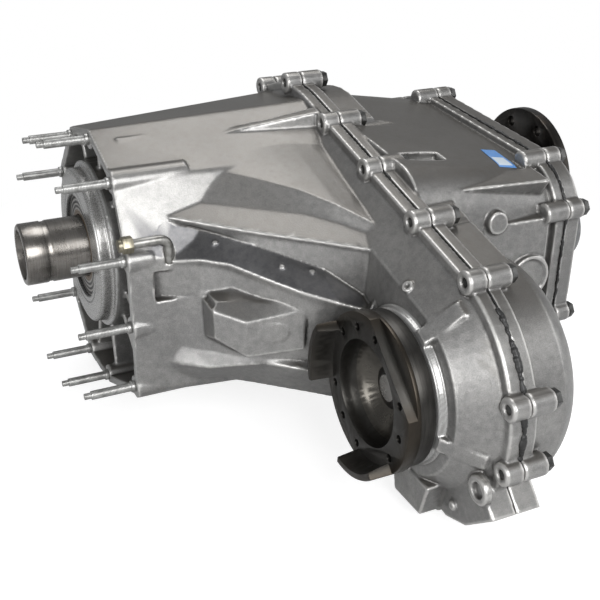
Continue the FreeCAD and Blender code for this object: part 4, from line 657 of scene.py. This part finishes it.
class Finish(Enum):
    """Every finish on the object."""

    CAST = CastAluminium()
    GROUND = TurnedSteel("ground_steel", (0.40, 0.39, 0.375), (0.24, 0.23, 0.215), rough=0.27)
    SLEEVE = TurnedSteel(
        "sleeve_steel", (0.27, 0.258, 0.242), (0.15, 0.139, 0.127), ring_depth=0.000006, rust=0.5
    )
    GEAR = TurnedSteel("gear_steel", (0.44, 0.435, 0.42), (0.30, 0.295, 0.28), rough=0.36)
    FLANGE = FlangeSteel()
    PHOSPHATE = TurnedSteel(
        "phosphated_steel",
        (0.038, 0.034, 0.030),
        (0.012, 0.011, 0.010),
        rough=0.34,
        metallic=0.8,
        ring_depth=0.00006,
        rust=0.25,
    )
    SLINGER = TurnedSteel(
        "slinger_steel",
        (0.06, 0.057, 0.053),
        (0.025, 0.024, 0.022),
        rough=0.38,
        metallic=0.85,
        ring_depth=0.00005,
    )
    BRASS = TurnedSteel("brass", (0.36, 0.335, 0.265), (0.20, 0.18, 0.13), rough=0.34)
    ZINC = PlatedSteel("zinc_plate", (0.42, 0.42, 0.41), (0.22, 0.22, 0.21))
    BOLT = PlatedSteel("bolt_steel", (0.10, 0.10, 0.098), (0.04, 0.04, 0.039))
    THREAD = PlatedSteel("zinc_thread", (0.46, 0.46, 0.45), (0.28, 0.278, 0.27), thread_pitch=0.00125)
    TUBE = PlatedSteel("plated_tube", (0.34, 0.335, 0.32), (0.19, 0.186, 0.175))
    SEALANT = Rubber("sealant", (0.008, 0.008, 0.008), (0.014, 0.014, 0.014), rough=0.42, grain=0.0001)
    SEAL = Rubber("seal_rubber", (0.025, 0.024, 0.023), (0.07, 0.068, 0.062))
    SEAL_RINGS = SealRings()
    PLASTIC = Rubber("actuator_plastic", (0.11, 0.112, 0.115), (0.16, 0.162, 0.165))
    LABEL = LabelFoil()


FINISH_OF_SLOT: dict[str, Finish] = {
    "cast_case": Finish.CAST,
    "black_sealant": Finish.SEALANT,
    "zinc_steel": Finish.ZINC,
    "bright_steel": Finish.GROUND,
    "gear_steel": Finish.GEAR,
    "fork_metal": Finish.CAST,
    "dark_flange": Finish.PHOSPHATE,
    "slinger_steel": Finish.SLINGER,
    "seal_rubber": Finish.SEAL,
    "black_plastic": Finish.PLASTIC,
    "vent_tube_steel": Finish.TUBE,
    "brass_nut": Finish.BRASS,
}


@dataclass
class Wardrobe:
    """Builds each finish once and puts it on pieces."""

    made: dict[Finish, bpy.types.Material] = field(default_factory=dict)

    def get(self, finish: Finish) -> bpy.types.Material:
        """The material of a finish, built when first asked for.

        Args:
            finish: The finish.

        Returns:
            Its material.
        """
        if finish not in self.made:
            self.made[finish] = finish.value.material()
        return self.made[finish]

    def dress(self, piece: bpy.types.Object, finish: Finish) -> None:
        """Put a finish on every slot of a piece.

        Args:
            piece: The object to dress.
            finish: The finish.
        """
        if not piece.material_slots:
            piece.data.materials.append(self.get(finish))
        for slot in piece.material_slots:
            slot.material = self.get(finish)


def piece_from(name: str, shape: bmesh.types.BMesh) -> bpy.types.Object:
    """Link a new object that holds a shape, and free the shape.

    Args:
        name: The piece's name.
        shape: Its mesh, placed in the row frame.

    Returns:
        The object, at the origin.
    """
    mesh = bpy.data.meshes.new(name)
    shape.to_mesh(mesh)
    shape.free()
    piece = bpy.data.objects.new(name, mesh)
    bpy.context.scene.collection.objects.link(piece)
    return piece


def settle(piece: bpy.types.Object) -> None:
    """Apply a piece's modifiers to its mesh.

    Args:
        piece: The piece with modifiers.
    """
    graph = bpy.context.evaluated_depsgraph_get()
    mesh = bpy.data.meshes.new_from_object(piece.evaluated_get(graph))
    piece.modifiers.clear()
    piece.data = mesh


def add_skin(piece: bpy.types.Object, voxel: float) -> None:
    """Add a voxel remesh, which joins what overlaps in a piece.

    Args:
        piece: The piece.
        voxel: The voxel's size in metres.
    """
    skin = piece.modifiers.new("skin", "REMESH")
    skin.mode = "VOXEL"
    skin.voxel_size = voxel


def merged_shape(node: bpy.types.Object, flatten: float = 0.0) -> bmesh.types.BMesh:
    """A welded copy of a CAD node's mesh.

    Args:
        node: The CAD node.
        flatten: Faces that turn less than this many degrees become one.

    Returns:
        The copy.
    """
    shape = bmesh.new()
    shape.from_mesh(node.data)
    bmesh.ops.remove_doubles(shape, verts=shape.verts, dist=WELD)
    if flatten:
        bmesh.ops.dissolve_limit(
            shape, angle_limit=math.radians(flatten), verts=shape.verts, edges=shape.edges, delimit={"NORMAL"}
        )
    return shape


def side_of(direction: Vector) -> Matrix:
    """The turn that brings +Z to a direction, as a 4 by 4 matrix."""
    return direction.to_track_quat("Z", "Y").to_matrix().to_4x4()


@dataclass(frozen=True)
class Boss:
    """A round or oval pad that stands on a casting, with a bore or without."""

    place: Triple
    out: Triple
    radius: float
    height: float
    bore: float = 0.0
    stretch: float = 1.0
    root: float = 0.003
    top_share: float = 0.94
    ring_shares: Pair = (0.95, 1.06)
    sides: int = 36
    steps: int = 40

    def add_to(self, shape: bmesh.types.BMesh) -> None:
        """Add the pad's closed solid, drawn in a little towards its top.

        Args:
            shape: The mesh that it joins.
        """
        outwards = Vector(self.out).normalized()
        base = Vector(self.place) - outwards * self.root
        stand = Matrix.Translation(base) @ side_of(outwards) @ Matrix.Diagonal((self.stretch, 1.0, 1.0, 1.0))
        tall = self.height + self.root
        if not self.bore:
            bmesh.ops.create_cone(
                shape,
                cap_ends=True,
                segments=self.sides,
                radius1=self.radius,
                radius2=self.radius * self.top_share,
                depth=tall,
                matrix=stand @ Matrix.Translation((0.0, 0.0, tall / 2.0)),
            )
            return
        outer, inner = self.ring_shares
        top = ((self.radius * outer, tall), (self.bore * inner, tall))
        profile = ((self.bore, 0.0), (self.radius, 0.0), *top)
        corners = [shape.verts.new(stand @ Vector((reach, 0.0, rise))) for reach, rise in profile]
        edges = [shape.edges.new((corners[index - 1], corners[index])) for index in range(len(corners))]
        there_before = set(shape.faces)
        bmesh.ops.spin(
            shape,
            geom=corners + edges,
            cent=stand @ Vector((0.0, 0.0, 0.0)),
            axis=outwards,
            angle=FULL_TURN,
            steps=self.steps,
            use_merge=True,
        )
        bmesh.ops.recalc_face_normals(shape, faces=list(set(shape.faces) - there_before))


@dataclass(frozen=True)
class Bar:
    """A straight rib with one outline at each of two places along X."""

    front_x: float
    rear_x: float
    front: tuple[Pair, ...]
    rear: tuple[Pair, ...]

    def add_to(self, shape: bmesh.types.BMesh) -> None:
        """Add the rib's closed solid.

        Args:
            shape: The mesh that it joins.
        """
        first = shape.faces.new([shape.verts.new((self.front_x, *corner)) for corner in self.front])
        grown = bmesh.ops.extrude_face_region(shape, geom=[first])["geom"]
        for point in (item for item in grown if isinstance(item, bmesh.types.BMVert)):
            gaps = [(point.co.yz - Vector(corner)).length for corner in self.front]
            point.co = (self.rear_x, *self.rear[gaps.index(min(gaps))])
        faces = [first] + [item for item in grown if isinstance(item, bmesh.types.BMFace)]
        sides = {face for edge in first.edges for face in edge.link_faces}
        bmesh.ops.recalc_face_normals(shape, faces=list(sides.union(faces)))


def inside_outline(along: np.ndarray, up: np.ndarray, outline: Sequence[Pair]) -> np.ndarray:
    """Which points lie inside a closed outline.

    Args:
        along: The points' X.
        up: The points' Z.
        outline: The outline's corners as X and Z.

    Returns:
        True for each point inside.
    """
    inside = np.zeros(len(along), dtype=bool)
    for index, (first_x, first_z) in enumerate(outline):
        last_x, last_z = outline[index - 1]
        spans = (first_z > up) != (last_z > up)
        rise = last_z - first_z if last_z != first_z else TINY
        inside ^= spans & (along < (last_x - first_x) * (up - first_z) / rise + first_x)
    return inside


def read_points(source: bpy.types.bpy_prop_collection, key: str, count: int) -> np.ndarray:
    """Read three numbers of every point.

    Args:
        source: The mesh's points or their normals.
        key: What is read of each.
        count: How many there are.

    Returns:
        One row for each point.
    """
    numbers = np.empty(count * 3, dtype=np.float32)
    source.foreach_get(key, numbers)
    return numbers.reshape(count, 3)


def bend_of(mesh: bpy.types.Mesh, places: np.ndarray, normals: np.ndarray, passes: int = 3) -> np.ndarray:
    """How sharply the surface bulges at each point, in 1 / metre.

    Args:
        mesh: The mesh.
        places: Where its points are.
        normals: Their normals.
        passes: How often a point is evened out with its neighbours.

    Returns:
        The curvature, above 0 on a lip and below 0 in a crease.
    """
    count = len(places)
    ends = np.empty(len(mesh.edges) * 2, dtype=np.int32)
    mesh.edges.foreach_get("vertices", ends)
    first, last = ends.reshape(-1, 2).T
    span = places[last] - places[first]
    square = np.maximum((span**2).sum(axis=1), TINY)
    share = np.maximum(np.bincount(first, minlength=count) + np.bincount(last, minlength=count), 1)
    bend = np.bincount(first, -(normals[first] * span).sum(axis=1) / square, count)
    bend += np.bincount(last, (normals[last] * span).sum(axis=1) / square, count)
    bend /= share
    for _ in range(passes):
        spread = np.bincount(first, bend[last], count) + np.bincount(last, bend[first], count)
        bend = 0.5 * bend + 0.5 * spread / share
    return bend * 2.0


def mark_surface(mesh: bpy.types.Mesh, recess_shade: Sequence[Pair], reach: float = 0.004) -> None:
    """Store what the finish reads at each point.

    One number tells how sharply the surface bulges: near 1 on a lip, near -1 in a crease, 0 where flat.
    One tells how far it faces up, and one whether it lies in the recess under the long fin, where shade is
    painted.

    Args:
        mesh: The mesh to mark.
        recess_shade: The outline of the recess under the long fin, where shade is painted, as X and Z, on the
            side that faces -Y.
        reach: The rounding radius in metres that counts as 1.
    """
    count = len(mesh.vertices)
    places = read_points(mesh.vertices, "co", count)
    normals = read_points(mesh.vertex_normals, "vector", count)
    bulge = np.clip(bend_of(mesh, places, normals) * reach, -1.0, 1.0)
    in_recess_shade = np.zeros(count, dtype=np.float32)
    # Points inside the outline on the near side get the painted recess shade.
    if recess_shade:
        in_recess_shade[inside_outline(places[:, 0], places[:, 2], recess_shade) & (places[:, 1] < NEAR_SIDE_Y)] = 1.0
    for name, numbers in ((EDGE, bulge), (UPWARD, normals[:, 2]), (RECESS_SHADE, in_recess_shade)):
        marks = mesh.attributes.new(name, "FLOAT", "POINT")
        marks.data.foreach_set("value", numbers.astype(np.float32))


@dataclass
class Casting:
    """A casting whose edges and inner corners are rounded as the foundry leaves them."""

    node: str
    body: str = "case"
    voxel: float = 0.0013
    easing: float = 0.5
    passes: int = 3
    triangles: int = 190000
    pads: tuple[Boss | Bar, ...] = ()
    recess_shade: tuple[Pair, ...] = ()

    def build(self, frame: dict, wardrobe: Wardrobe) -> bpy.types.Object:
        """Round the CAD node's copy and dress it.

        Args:
            wardrobe: Where finishes come from.

        Returns:
            The piece that stands for the node.
        """
        shape = merged_shape(frame["nodes"][self.node])
        for pad in self.pads:
            pad.add_to(shape)
        piece = piece_from(f"{self.node}_cast", shape)
        add_skin(piece, self.voxel)
        eased = piece.modifiers.new("easing", "SMOOTH")
        eased.factor = self.easing
        eased.iterations = self.passes
        settle(piece)
        count = sum(len(face.vertices) - 2 for face in piece.data.polygons)
        if count > self.triangles:
            lighter = piece.modifiers.new("lighter", "DECIMATE")
            lighter.ratio = self.triangles / count
            settle(piece)
        piece.data.shade_smooth()
        mark_surface(piece.data, self.recess_shade)
        wardrobe.dress(piece, Finish.CAST)
        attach(piece, self.body)
        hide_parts(self.node)
        log.info("%s: %d faces from %d triangles", piece.name, len(piece.data.polygons), count)
        return piece


@dataclass
class Machined:
    """A turned or forged piece whose sharp edges are broken."""

    node: str
    body: str
    finish: Finish
    edge: float = 0.0006
    flatten: float = 0.6
    smooth_angle: float = 32.0
    sharp_angle: float = 40.0

    def build(self, frame: dict, wardrobe: Wardrobe) -> bpy.types.Object:
        """Break the CAD node's edges on a copy and dress it.

        Args:
            wardrobe: Where finishes come from.

        Returns:
            The piece that stands for the node.
        """
        piece = piece_from(f"{self.node}_piece", merged_shape(frame["nodes"][self.node], self.flatten))
        broken = piece.modifiers.new("edge", "BEVEL")
        broken.width = self.edge
        broken.segments = 2
        broken.limit_method = "ANGLE"
        broken.angle_limit = math.radians(self.smooth_angle)
        broken.use_clamp_overlap = True
        broken.harden_normals = False
        settle(piece)
        piece.data.shade_smooth()
        piece.data.set_sharp_from_angle(angle=math.radians(self.sharp_angle))
        wardrobe.dress(piece, self.finish)
        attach(piece, self.body)
        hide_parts(self.node)
        log.info("%s: %d faces", piece.name, len(piece.data.polygons))
        return piece


def surface_of(piece: bpy.types.Object) -> BVHTree:
    """A piece's surface, to be met by rays."""
    points = [point.co for point in piece.data.vertices]
    return BVHTree.FromPolygons(points, [tuple(face.vertices) for face in piece.data.polygons])


@dataclass
class SealantBead:
    """Sealant that was squeezed out of a seam in uneven lumps.

    Angles are in degrees round the centre, and a rate is in waves per degree.
    """

    name: str
    node: str
    seam_x: float
    centre: Pair
    angles: Pair
    thin: float
    thick: float
    seed: float
    body: str = "case"
    step: float = 0.45
    outside: float = 0.4
    lump_rate: float = 0.16
    ripple_rate: float = 0.9
    lump_share: float = 0.65
    thin_below: float = 0.36
    rise: float = 3.0
    drift_rate: float = 0.5
    drift: float = 0.0012
    sunk: float = 0.35
    voxel: float = 0.0005

    def wave(self, turn: float, rate: float, row: float) -> float:
        """A smooth wave from 0 to 1 along the seam; the row says which of the seed's waves it is."""
        return noise.noise(Vector((turn * rate, self.seed, row))) * 0.5 + 0.5

    def lump(self, turn: float) -> float:
        """The size of the lump at a place on the seam.

        Args:
            turn: The place, in degrees.

        Returns:
            The lump's radius in metres.
        """
        swell = self.wave(turn, self.lump_rate, 0.0) * self.lump_share
        swell += self.wave(turn, self.ripple_rate, 4.0) * (1.0 - self.lump_share)
        return self.thin + (self.thick - self.thin) * min(1.0, max(0.0, swell - self.thin_below) * self.rise)

    def build(self, frame: dict, wardrobe: Wardrobe) -> bpy.types.Object:
        """Lay the lumps along the seam's outer edge.

        Args:
            wardrobe: Where finishes come from.

        Returns:
            The bead.
        """
        surface = surface_of(frame["nodes"][self.node])
        shape = bmesh.new()
        turn = self.angles[0]
        while turn <= self.angles[1]:
            angle = math.radians(turn)
            ray = Vector((0.0, math.cos(angle), math.sin(angle)))
            place, _, _, _ = surface.ray_cast(Vector((self.seam_x, *self.centre)) + ray * self.outside, -ray)
            turn += self.step
            if place is None:
                continue
            radius = self.lump(turn)
            drift = noise.noise(Vector((turn * self.drift_rate, self.seed, 9.0))) * self.drift
            middle = Matrix.Translation(place + Vector((drift, 0.0, 0.0)) - ray * (radius * self.sunk))
            bmesh.ops.create_icosphere(shape, subdivisions=2, radius=radius, matrix=middle)
        piece = piece_from(self.name, shape)
        add_skin(piece, self.voxel)
        settle(piece)
        piece.data.shade_smooth()
        wardrobe.dress(piece, Finish.SEALANT)
        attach(piece, self.body)
        log.info("%s: %d faces", piece.name, len(piece.data.polygons))
        return piece


@dataclass
class Label:
    """A thin foil that lies on a casting. Its corners are X and Y, from the near left one round."""

    corners: tuple[Pair, Pair, Pair, Pair]
    top: float
    stand_off: float = 0.0003
    thickness: float = 0.0002
    columns: int = 24
    rows: int = 40
    body: str = "case"

    def build(self, carrier: bpy.types.Object, wardrobe: Wardrobe) -> bpy.types.Object:
        """Drape the foil on the casting.

        Args:
            carrier: The casting's finished piece.
            wardrobe: Where finishes come from.

        Returns:
            The foil.
        """
        surface = surface_of(carrier)
        shape = bmesh.new()
        shape.loops.layers.uv.new("sheet")
        bmesh.ops.create_grid(shape, x_segments=self.columns, y_segments=self.rows, size=0.5, calc_uvs=True)
        near_left, near_right, far_right, far_left = (Vector(corner) for corner in self.corners)
        for point in shape.verts:
            wide, high = point.co.x + 0.5, point.co.y + 0.5
            spot = near_left.lerp(near_right, wide).lerp(far_left.lerp(far_right, wide), high)
            start = Vector((*spot, self.top))
            place, _, _, _ = surface.ray_cast(start, Vector((0.0, 0.0, -1.0)))
            point.co = (place or start) + Vector((0.0, 0.0, self.stand_off))
        bmesh.ops.recalc_face_normals(shape, faces=shape.faces)
        piece = piece_from("label", shape)
        wall = piece.modifiers.new("wall", "SOLIDIFY")
        wall.thickness = self.thickness
        wall.offset = 0.0
        settle(piece)
        piece.data.shade_smooth()
        wardrobe.dress(piece, Finish.LABEL)
        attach(piece, self.body)
        log.info("%s: %d faces", piece.name, len(piece.data.polygons))
        return piece


@dataclass(frozen=True)
class Lamp:
    """A soft square lamp: its place and width in metres, and its power in watts."""

    name: str
    place: Triple
    size: float
    power: float

    def hang(self, aim: Vector) -> None:
        """Add the lamp.

        Args:
            aim: What it points at.
        """
        data = bpy.data.lights.new(self.name, "AREA")
        data.size = self.size
        data.energy = self.power
        place = Vector(self.place)
        lamp = bpy.data.objects.new(self.name, data)
        lamp.matrix_world = Matrix.Translation(place) @ side_of(place - aim)
        bpy.context.scene.collection.objects.link(lamp)


@dataclass
class Studio:
    """The floor, the soft lights and the camera. Angles are in degrees, lengths in metres."""

    eye: Triple = (-0.1948, -0.8657, 0.3563)
    azimuth: float = -25.33
    elevation: float = 25.55
    roll: float = 0.23
    lens: float = 60.0
    sensor: float = 36.0
    aim: Triple = (0.2, -0.1, 0.0)
    lamps: tuple[Lamp, ...] = (
        Lamp("key", (-1.55, -1.0, 0.42), size=0.9, power=19.0),
        Lamp("front", (0.15, -1.65, 0.8), size=0.9, power=24.0),
        Lamp("top", (0.5, 0.5, 1.6), size=1.0, power=15.0),
        Lamp("fill", (1.6, -0.8, 0.5), size=1.0, power=7.0),
    )
    floor_size: float = 6.0
    floor_fade: Pair = (0.30, 0.75)
    floor_paint: Rgb = (0.7, 0.7, 0.7)
    floor_near: Rgb = (0.42, 0.42, 0.42)
    floor_glow: float = 0.80
    sky: Rgb = (0.93, 0.96, 1.0)
    sky_strength: float = 0.16
    mirrored: float = 0.18

    def camera(self) -> None:
        """Place the camera as the photograph's was."""
        turn = math.radians(self.azimuth)
        rise = math.radians(self.elevation)
        lean = math.radians(self.roll)
        back = Vector((math.sin(turn) * math.cos(rise), -math.cos(turn) * math.cos(rise), math.sin(rise)))
        right = Vector((math.cos(turn), math.sin(turn), 0.0))
        up = back.cross(right)
        right_leaned = right * math.cos(lean) + up * math.sin(lean)
        up_leaned = up * math.cos(lean) - right * math.sin(lean)
        data = bpy.data.cameras.new("camera")
        data.lens = self.lens
        data.sensor_width = self.sensor
        data.clip_start = 0.01
        data.clip_end = 50.0
        camera = bpy.data.objects.new("camera", data)
        facing = Matrix((right_leaned, up_leaned, back)).transposed().to_4x4()
        camera.matrix_world = Matrix.Translation(self.eye) @ facing
        bpy.context.scene.collection.objects.link(camera)
        bpy.context.scene.camera = camera

    def floor(self, level: float) -> None:
        """Lay a pale floor that keeps the shadow.

        Args:
            level: Its height in metres.
        """
        shape = bmesh.new()
        bmesh.ops.create_grid(shape, x_segments=1, y_segments=1, size=self.floor_size)
        bmesh.ops.translate(shape, verts=shape.verts, vec=(0.0, 0.0, level))
        floor = piece_from("floor", shape)
        shader = Shader("floor_paint")
        seen = shader.node("ShaderNodeLightPath").outputs["Is Camera Ray"]
        paint = shader.node("ShaderNodeBsdfDiffuse", inputs={"Color": self.floor_paint})
        pale = shader.node("ShaderNodeBsdfDiffuse", inputs={"Color": self.floor_near})
        glow = shader.node("ShaderNodeEmission", inputs={"Color": WHITE, "Strength": self.floor_glow})
        white = shader.node("ShaderNodeEmission", inputs={"Color": WHITE, "Strength": 1.0})
        near = shader.node("ShaderNodeAddShader", inputs={0: pale.outputs[0], 1: glow.outputs[0]})
        away = radius_from(shader, Axis.FLOOR).ramp(*self.floor_fade)
        lit = shader.node("ShaderNodeMixShader", inputs={0: away, 1: near.outputs[0], 2: white.outputs[0]})
        both = shader.node("ShaderNodeMixShader", inputs={0: seen, 1: paint.outputs[0], 2: lit.outputs[0]})
        floor.data.materials.append(shader.show(both))
        floor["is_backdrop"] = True

    def world(self) -> None:
        """White where it is seen, softer where it lights."""
        shader = Shader("studio", world=True)
        path = shader.node("ShaderNodeLightPath").outputs
        mirrored = shader.value(path["Is Glossy Ray"]) * self.mirrored
        seen = mirrored.at_least(shader.value(path["Is Camera Ray"]))
        soft = shader.node("ShaderNodeBackground", inputs={"Color": self.sky, "Strength": self.sky_strength})
        white = shader.node("ShaderNodeBackground", inputs={"Color": WHITE, "Strength": 1.0})
        both = shader.node("ShaderNodeMixShader", inputs={0: seen, 1: soft.outputs[0], 2: white.outputs[0]})
        bpy.context.scene.world = shader.show(both)

    def build(self, level: float) -> None:
        """Set the whole studio up.

        Args:
            level: The floor's height in metres.
        """
        self.camera()
        for lamp in self.lamps:
            lamp.hang(Vector(self.aim))
        self.floor(level)
        self.world()
        bpy.context.scene.view_settings.view_transform = "Standard"


# The front casting's small forms: the lug's ring and nub, three bumps, a small ring and the wedge's oval.
FRONT_PADS: tuple[Boss | Bar, ...] = (
    Boss((0.193, -0.3652, -0.0971), (-1.0, 0.0, 0.0), radius=0.0125, height=0.0035, bore=0.0065),
    Boss((0.193, -0.3345, -0.1323), (-1.0, 0.0, 0.0), radius=0.0042, height=0.0035),
    Boss((0.0729, -0.1331, 0.0376), (-0.45, -0.58, 0.68), radius=0.0024, height=0.0014),
    Boss((0.1142, -0.1781, 0.0260), (-0.26, -0.58, 0.77), radius=0.0024, height=0.0014),
    Boss((0.1360, -0.1897, 0.0221), (-0.09, -0.54, 0.84), radius=0.0024, height=0.0014),
    Boss((0.1800, -0.2685, 0.0331), (-0.66, -0.19, 0.72), radius=0.0050, height=0.0022, bore=0.0022),
    Boss((0.1010, -0.1908, -0.0262), (-0.33, -0.94, 0.03), radius=0.0090, height=0.0008, stretch=1.5),
)

# The outline of the recess under the long fin, where shade is painted, as X and Z.
RECESS_SHADE_OUTLINE: tuple[Pair, ...] = (
    (0.0165, 0.0509),
    (0.0449, 0.0519),
    (0.0656, 0.0454),
    (0.0988, 0.0393),
    (0.1417, 0.0255),
    (0.1760, -0.0005),
    (0.1711, -0.0018),
    (0.1647, -0.0022),
    (0.1180, 0.0130),
    (0.0786, 0.0247),
    (0.0579, 0.0264),
    (0.0369, 0.0252),
    (0.0182, 0.0324),
)

# The rear casting's small forms: the eave bar, the raised plate, its bolt boss and the large ring.
REAR_PADS: tuple[Boss | Bar, ...] = (
    Bar(
        front_x=0.262,
        rear_x=0.352,
        front=((-0.186, 0.078), (-0.200, 0.077), (-0.196, 0.070)),
        rear=((-0.186, 0.083), (-0.216, 0.079), (-0.204, 0.062)),
    ),
    Bar(
        front_x=0.288,
        rear_x=0.352,
        front=((-0.206, 0.046), (-0.212, 0.044), (-0.212, -0.020), (-0.206, -0.030)),
        rear=((-0.206, 0.050), (-0.220, 0.046), (-0.220, -0.030), (-0.206, -0.040)),
    ),
    Boss((0.3000, -0.2110, 0.0470), (0.0, -0.99, 0.1), radius=0.0105, height=0.0060),
    Boss((0.3360, -0.2170, -0.0080), (0.0, -1.0, 0.0), radius=0.0215, height=0.0045, bore=0.0165),
)

CASTINGS: tuple[Casting, ...] = (
    Casting("front_case", pads=FRONT_PADS, recess_shade=RECESS_SHADE_OUTLINE),
    Casting("rear_case", pads=REAR_PADS),
    Casting("rear_cover", triangles=120000),
)

BEADS: tuple[SealantBead, ...] = (
    SealantBead(
        "lobe_bead",
        "front_seam_sealant",
        seam_x=0.215,
        centre=(FRONT_Y, FRONT_Z),
        angles=(126.0, 190.0),
        thin=0.0008,
        thick=0.0034,
        seed=1.3,
    ),
    SealantBead(
        "shoulder_bead",
        "front_seam_sealant",
        seam_x=0.215,
        centre=(-0.14, 0.02),
        angles=(62.0, 118.0),
        thin=0.0006,
        thick=0.0016,
        seed=5.1,
    ),
    SealantBead(
        "cover_bead",
        "rear_seam_sealant",
        seam_x=0.370,
        centre=(-0.10, 0.02),
        angles=(70.0, 205.0),
        thin=0.0009,
        thick=0.0022,
        seed=8.7,
    ),
)

LABEL = Label(
    corners=((0.3230, -0.180), (0.3400, -0.182), (0.3440, -0.142), (0.3300, -0.140)),
    top=0.13,
)

MACHINED: tuple[Machined, ...] = (
    Machined("input_shaft", "input", Finish.SLEEVE),
    Machined("input_seal", "case", Finish.SEAL_RINGS, edge=0.0004),
    Machined("front_output_flange", "front_output", Finish.FLANGE, edge=0.0008),
    Machined("rear_output_flange", "main", Finish.PHOSPHATE, edge=0.0008),
    Machined("front_slinger", "front_output", Finish.SLINGER, edge=0.0004),
    Machined("front_flange_nut", "front_output", Finish.PHOSPHATE, edge=0.0006),
    Machined("adapter_studs", "case", Finish.THREAD, edge=0.0004),
    Machined("case_bolts", "case", Finish.BOLT, edge=0.0005),
    Machined("cover_bolts", "case", Finish.BOLT, edge=0.0005),
    Machined("vent_elbow", "case", Finish.TUBE, edge=0.0003),
    Machined("vent_cap", "case", Finish.BRASS, edge=0.0005),
    Machined("shift_motor", "case", Finish.PLASTIC, edge=0.0012),
)


def dress_nodes(frame: dict, wardrobe: Wardrobe) -> None:
    """Put each CAD node's finish on it.

    Args:
        wardrobe: Where finishes come from.
    """
    slot_of = {entry["node"]: entry["material_slot"] for entry in frame["record"]["subparts"]}
    for name, node in frame["nodes"].items():
        wardrobe.dress(node, FINISH_OF_SLOT[slot_of[name]])


def as_list(box: Sequence[Sequence[float]]) -> list[list[float]]:
    """A box as plain numbers."""
    return [[float(number) for number in corner] for corner in box]


def main() -> None:
    """Dress the whole object and set the studio."""
    logging.basicConfig(level=logging.INFO, format="%(message)s")
    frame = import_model()
    cad_box = as_list(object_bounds())
    studio = Studio()
    studio.build(cad_box[0][2])
    wardrobe = Wardrobe()
    dress_nodes(frame, wardrobe)
    cast = {casting.node: casting.build(frame, wardrobe) for casting in CASTINGS}
    for piece in MACHINED:
        piece.build(frame, wardrobe)
    for bead in BEADS:
        bead.build(frame, wardrobe)
    LABEL.build(cast["rear_case"], wardrobe)


if __name__ == "__main__":
    main()
